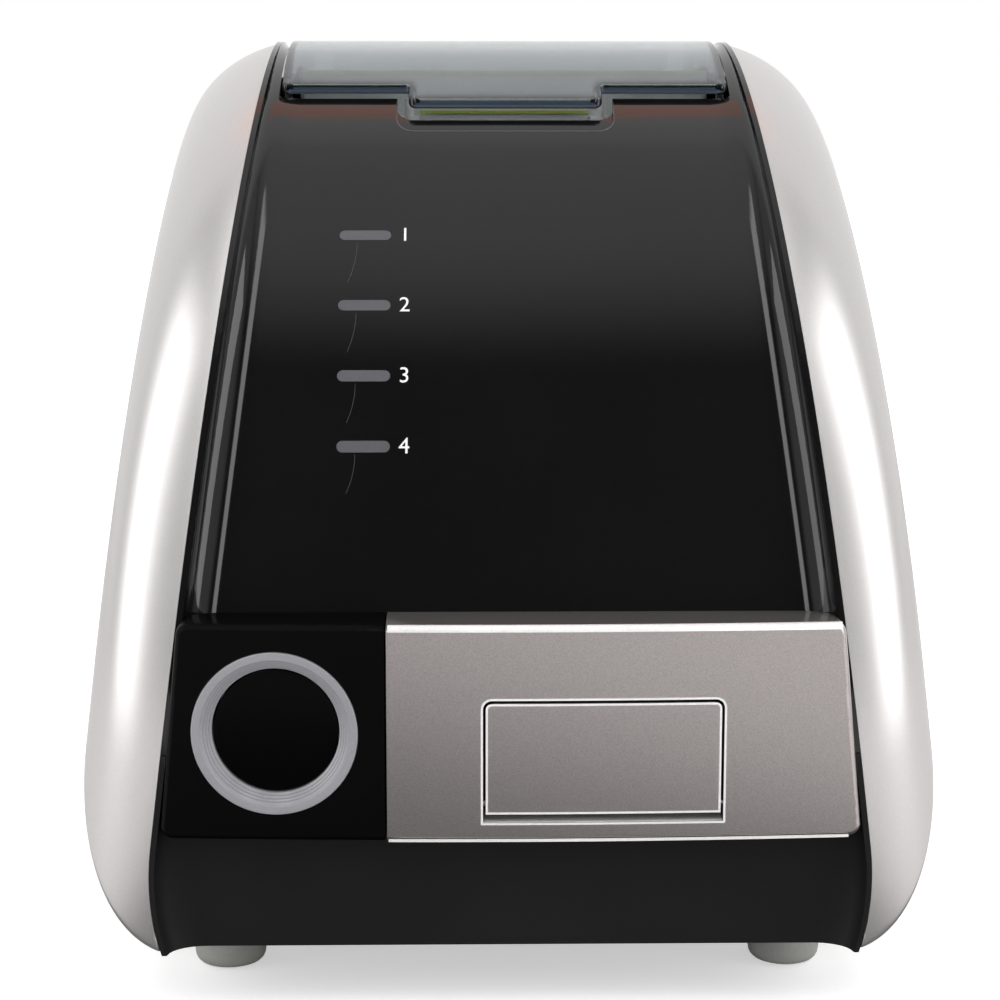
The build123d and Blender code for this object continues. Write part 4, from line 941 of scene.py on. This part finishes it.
def lidFace(work, layer, ring, flip):
    # fills a ring of the sheet, with points between that follow its curve
    d = lid
    inset, depth = ring
    outline = [Vector(p) for p in lidOutline(inset)]
    count = len(outline)
    inner = []
    low = -d["tabFront"] + inset
    high = d["rear"] - inset
    for row in range(1, d["rows"]):
        y = low + (high - low) * row / d["rows"]
        half = d["half"] if y > -d["front"] + inset + d["rowMargin"] else d["tabHalf"]
        half -= inset + d["sideMargin"]
        for column in range(d["columns"] + 1):
            inner.append(Vector((-half + 2 * half * column / d["columns"], y)))
    edges = [(k, (k + 1) % count) for k in range(count)]
    found = delaunay_2d_cdt(outline + inner, edges, [], 1, 1e-5)
    vertices = []
    for spot, origin in zip(found[0], found[3]):
        if origin and origin[0] < count:
            vertices.append(layer[origin[0]])
        else:
            vertices += ringOf(work, [(spot.x, spot.y, lidZ(spot.y, depth))])
    for face in found[2]:
        corners = [vertices[k] for k in face]
        if len(set(corners)) == len(corners) and not work.faces.get(corners):
            work.faces.new(corners[::-1] if flip else corners)


def lidSkirt(work, side):
    d = lid
    outer = d["half"] - d["skirtGap"]
    inner = d["half"] - d["skirtWall"]
    low = -d["front"] + d["skirtBack"]
    high = d["hingeY"] - d["hingeRadius"] - d["skirtEnd"]
    layers = []
    for row in range(d["rows"] + 1):
        y = low + (high - low) * row / d["rows"]
        top = lidZ(y, d["thick"] + d["seat"])
        bottom = lidZ(y, d["thick"] + d["skirtDepth"])
        section = [(inner, bottom), (outer, bottom), (outer, top), (inner, top)]
        layers.append(ringOf(work, [(side * x, y, z) for x, z in section]))
    loft(work, layers)


def lidKnuckle(work, side):
    # the hinge eye, and the block that joins it to the sheet
    d = lid
    ends = [side * x for x in d["knuckle"]]
    y, z = d["hingeY"], d["hingeHeight"]
    rings = []
    for radius in (d["hingeRadius"], d["boreRadius"]):
        for x in ends:
            rings.append(ringOf(work, [(x, y + radius * math.cos(a), z + radius * math.sin(a))
                                       for a in circle(d["knuckleSegments"])]))
    for first, second in ((0, 1), (1, 3), (3, 2), (2, 0)):
        joinRings(work, rings[first], rings[second], False)
    half = d["knuckleHalf"]
    tops = [(y + step, lidZ(y + step, d["thick"]) - d["seat"]) for step in (-half, half)]
    section = [(y - half, z + half), *tops, (y + half, z + half)]
    loft(work, [ringOf(work, [(x, *point) for point in section]) for x in ends])


lidWork = bmesh.new()
lidSheet(lidWork)
for side in (-1, 1):
    lidSkirt(lidWork, side)
    lidKnuckle(lidWork, side)
lidShell = meshPiece(lidWork, "lid_smoked", sharp["small"], materials["smoked_plastic"], [lidField])
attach(lidShell, "lid_body")
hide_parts("lid")
print("stage: lid made")


# Painted highlights: near-white strips round the outlet, round its door and along the panel's upper and
# lower edges, and a grey bead on the rounded edge of the finger recess

# the near-white look below paints the highlights on these edges
outlet = {"opening": (-7.2, 52.8, 53.3, 84.6), "openingRound": 2.2,
          "door": (-6.5, 52.1, 55.5, 83.8), "doorRound": 1.5,
          "edgeWidth": 0.55, "proud": 0.02, "deep": 0.3, "stations": 60,
          "side": 0.6, "lowerLift": 0.1, "lowerHigh": 0.7, "upperTurn": (18, 78), "upperSteps": 8,
          "look": {"colour": (0.93, 0.91, 0.905), "rough": 0.24, "metal": 0.25, "relief": 0.05}}


def outletLoop(box, radius, grow):
    left, right, bottom, top = box
    corners = [(left - grow, bottom - grow, 0), (left - grow, top + grow, radius + grow),
               (right + grow, top + grow, radius + grow), (right + grow, bottom - grow, 0)]
    return evenly(roundCorners(corners))


def edgeRing(name, box, radius, inner, outer):
    work = bmesh.new()
    rings = []
    for sunk, grow in flatSection(inner, outer, -outlet["proud"], outlet["deep"]):
        loop = outletLoop(box, radius, grow)
        rings.append(ringOf(work, [(x, bowY(x) + sunk, z) for x, z in loop]))
    for lower, upper in zip(rings, rings[1:] + rings[:1]):
        joinRings(work, lower, upper, False)
    piece = meshPiece(work, name, sharp["small"], highlightPaint)
    return piece


def bandStrip(name, section, start, end, material):
    # a section of (depth behind the bowed face, height) drawn along the band
    work = bmesh.new()
    rings = []
    for k in range(outlet["stations"] + 1):
        x = start + (end - start) * k / outlet["stations"]
        rings.append(ringOf(work, [(x, bowY(x) + deep, z) for deep, z in section]))
    loft(work, rings)
    piece = meshPiece(work, name, sharp["small"], material)
    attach(piece, "housing")


def topSection():
    # follows the rounded upper edge of the band
    radius = band["edge"]
    start, end = outlet["upperTurn"]
    steps = outlet["upperSteps"]
    outer = []
    inner = []
    for step in range(steps + 1):
        a = math.radians(start + (end - start) * step / steps)
        for line, reach in ((outer, radius + outlet["proud"]), (inner, radius - outlet["deep"])):
            line.append((radius - reach * math.cos(a), band["top"] - radius + reach * math.sin(a)))
    return outer + inner[::-1]


def flatSection(low, high, front, rear):
    return [(front, low), (front, high), (rear, high), (rear, low)]


recess = {"half": 29.5, "rear": -51.0, "front": -62.9, "corner": 4.5, "bead": 0.16,
          "cornerSteps": 8, "sideShares": (0, 0.35, 0.7)}
sill = {"lift": 0.02, "high": 0.1, "front": 0.3, "rear": 9.0, "side": 0.1}


def recessLine():
    # along both sides and round the two front corners
    r = recess
    steps = r["cornerSteps"]
    line = []
    for side in (-1, 1):
        centreX = side * (r["half"] - r["corner"])
        centreY = r["front"] + r["corner"]
        half = [(side * r["half"], r["rear"] + (centreY - r["rear"]) * share)
                for share in r["sideShares"]]
        for step in range(steps + 1):
            a = quarter * step / steps
            half.append((centreX + side * r["corner"] * math.cos(a),
                         centreY - r["corner"] * math.sin(a)))
        line += half if side < 0 else half[::-1]
    return [(x, y, archZ(y, *(housing[name] for name in channels))) for x, y in line]


highlightPaint = finish("painted_edge_highlight", outlet["look"])
width = outlet["edgeWidth"]
# painted highlights round the outlet opening and round the door
openingEdge = edgeRing("outlet_painted_highlight", outlet["opening"], outlet["openingRound"], 0.0, width)
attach(openingEdge, "housing")
doorEdge = edgeRing("door_painted_highlight", outlet["door"], outlet["doorRound"], -width, 0.0)
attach(doorEdge, "door_body")
left = band["split"] + outlet["side"]
# a painted highlight on the band's rounded top edge
bandStrip("panel_top_painted_highlight", topSection(), left, band["topEnd"], highlightPaint)
# a painted highlight along the band's lower edge
low = band["bottom"] + outlet["lowerLift"]
lower = flatSection(low, low + outlet["lowerHigh"], -outlet["proud"], outlet["deep"])
bandStrip("panel_lower_painted_highlight", lower, left, band["lowEnd"], highlightPaint)
# painted light: a thin white sheet on the floor of the outlet opening lightens the shaded gap under the
# door
start, end, bottom, top = outlet["opening"]
low = bottom + sill["lift"]
bandStrip("outlet_gap_light", flatSection(low, low + sill["high"], sill["front"], sill["rear"]),
          start + sill["side"], end - sill["side"], materials["white_plastic"])
for side, sideName in ((-1, "left"), (1, "right")):
    for facing, facingName in ((-1, "front"), (1, "rear")):
        panCove("pan_cove_" + sideName + "_" + facingName, side, facing)
# painted highlight: a thin bead along the recess edge, grey against the gloss black round it
bead = hairlines("recess_edge_highlight", [recessLine()], recess["bead"], printAndHighlightGrey)
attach(bead, "housing")
print("stage: edges made")


# Stage, lamps and camera

# What each part of the room sends to the object; the numbers in pairs are where it starts and ends
studio = {"room": 0.05, "ceiling": 0.85, "ceilingHeight": (0.70, 0.98),
          "sides": 0.6, "sideReach": (0.42, 0.62), "backdrop": 0.95, "backdropReach": (-0.1, 0.25),
          "strip": 3.6, "stripStart": (0.19, 0.21), "stripEnd": (0.33, 0.38),
          "stripBack": (-0.1, 0.0), "stripFoot": (0.0, 0.1), "stripTop": (0.93, 0.97),
          "panel": (1.45, 0.86, 0.72), "panelReach": (0.365, 0.38), "panelEnd": (0.46, 0.52),
          "panelWidth": (0.36, 0.44), "panelHeight": (0.6, 0.7), "panelGrain": 6.0,
          "panelWaver": 0.05, "white": (0.5, 0.6)}


def paintRoom():
    # a plain studio: dim behind the camera, pale overhead and at both sides, white behind
    s = studio
    world = bpy.data.worlds.new("studio")
    bpy.context.scene.world = world
    world.use_nodes = True
    net = world.node_tree
    place = add(net, "ShaderNodeTexCoord").outputs["Generated"]
    parts = add(net, "ShaderNodeSeparateXYZ", {0: place}).outputs
    across = maths(net, "ABSOLUTE", parts["X"], 0.0)
    back = parts["Y"]
    height = parts["Z"]
    level = fade(net, height, s["ceilingHeight"], s["room"], s["ceiling"])
    beside = fade(net, across, s["sideReach"], 0.0, s["sides"])
    behind = fade(net, back, s["backdropReach"], 0.0, s["backdrop"])
    # a tall strip light at each side of the camera
    strip = product(net, fade(net, across, s["stripStart"]), fade(net, across, s["stripEnd"], 1.0, 0.0),
                    fade(net, back, s["stripBack"], 1.0, 0.0), fade(net, height, s["stripFoot"]),
                    fade(net, height, s["stripTop"], 1.0, 0.0), s["strip"])
    for light in (beside, behind, strip):
        level = maths(net, "MAXIMUM", level, light)
    # a warm wooden panel on the ceiling, with an uneven edge
    waver = maths(net, "SUBTRACT", grain(net, place, s["panelGrain"]), 0.5)
    uneven = maths(net, "ADD", back, product(net, waver, s["panelWaver"]))
    share = product(net, fade(net, uneven, s["panelReach"]), fade(net, uneven, s["panelEnd"], 1.0, 0.0),
                    fade(net, across, s["panelWidth"], 1.0, 0.0), fade(net, height, s["panelHeight"]))
    lights = net.nodes["Background"]
    feed(net, lights, {"Color": colourMix(net, share, level, s["panel"])})
    # the camera and glass see plain white, and gloss sees it behind the object
    path = add(net, "ShaderNodeLightPath").outputs
    mirrored = product(net, path["Is Glossy Ray"], fade(net, back, s["white"]))
    either = maths(net, "MAXIMUM", path["Is Camera Ray"], path["Is Transmission Ray"])
    seen = add(net, "ShaderNodeBackground", {"Color": (1, 1, 1, 1)})
    choose = add(net, "ShaderNodeMixShader",
                 {0: maths(net, "MAXIMUM", either, mirrored), 1: lights.outputs[0],
                  2: seen.outputs[0]})
    feed(net, net.nodes["World Output"], {"Surface": choose.outputs[0]})


# The floor: a painted shade that only gloss sees, close in front of the object, and how white the
# camera sees it
table = {"size": 7.0, "place": (0, 1.0, -0.0002), "reach": (-0.58, -0.30), "width": (0.13, 0.22),
         "toRight": 0.75, "dim": 0.95, "white": 0.5, "paper": (0.78, 0.82)}


def floorSheet():
    t = table
    bpy.ops.mesh.primitive_plane_add(size=t["size"], location=t["place"])
    floor = bpy.context.object
    floor.name = "floor"
    material, net, shader = tree("pale_floor")
    cloud = grain(net, objectPoint(net), 3.0, 3.0)
    paper = ramp(net, cloud, (0.3, 0.7), [(shade, shade, shade) for shade in t["paper"]])
    # painted shade seen only in reflections: for glossy rays the floor is darker close in front of the
    # object, paler farther out and to the right
    place = add(net, "ShaderNodeNewGeometry").outputs["Position"]
    spot = add(net, "ShaderNodeSeparateXYZ", {0: place}).outputs
    away = maths(net, "SUBTRACT", spot["Y"], product(net, spot["X"], t["toRight"]))
    across = maths(net, "ABSOLUTE", spot["X"], 0.0)
    path = add(net, "ShaderNodeLightPath").outputs
    dim = product(net, fade(net, away, t["reach"], 0.0, t["dim"]),
                  fade(net, across, t["width"], 1.0, 0.0), path["Is Glossy Ray"])
    feed(net, shader, {"Base Color": colourMix(net, dim, paper, (0, 0, 0)), "Roughness": 0.9,
                       "Specular IOR Level": 0.0})
    # the camera sees the paper white, darkened only where the object shades it
    glow = add(net, "ShaderNodeEmission", {"Strength": product(net, path["Is Camera Ray"], t["white"])})
    both = add(net, "ShaderNodeAddShader", {0: shader.outputs[0], 1: glow.outputs[0]})
    feed(net, net.nodes["Material Output"], {"Surface": both.outputs[0]})
    floor.data.materials.append(material)


lamps = {
    "left_side": {"place": (-1.0, -0.5, 0.5), "glow": 2.4},
    "right_side": {"place": (1.0, -0.5, 0.5), "glow": 2.8},
}
lampLook = {"aim": (0, 0, 0.12), "size": (0.5, 1.2)}


def softbox(name, place, glow):
    light = bpy.data.lights.new(name, "AREA")
    light.shape = "RECTANGLE"
    light.size, light.size_y = lampLook["size"]
    light.energy = glow * math.pi * light.size * light.size_y
    lamp = linked(name, light)
    lamp.location = place
    aim = Vector(lampLook["aim"]) - Vector(place)
    lamp.rotation_euler = aim.to_track_quat("-Z", "Y").to_euler()


view = {"place": (-0.0138, -0.740, 0.2415), "pitch": 10.17, "yaw": 1.04, "roll": 0.05,
        "focal": 2480.5, "picture": 1000, "sensor": 36.0}


def photoCamera():
    data = bpy.data.cameras.new("photo_view")
    data.sensor_width = view["sensor"]
    data.lens = view["focal"] * view["sensor"] / view["picture"]
    data.clip_start = 0.01
    camera = linked("photo_view", data)
    camera.location = view["place"]
    turn = (Matrix.Rotation(-math.radians(view["yaw"]), 4, "Z")
            @ Matrix.Rotation(math.radians(90 - view["pitch"]), 4, "X")
            @ Matrix.Rotation(math.radians(view["roll"]), 4, "Z"))
    camera.rotation_euler = turn.to_euler()
    bpy.context.scene.camera = camera


paintRoom()
floorSheet()
for lampName, lamp in lamps.items():
    softbox(lampName, **lamp)
photoCamera()
bpy.context.scene.view_settings.view_transform = "Standard"
print("stage: lamps and camera set")
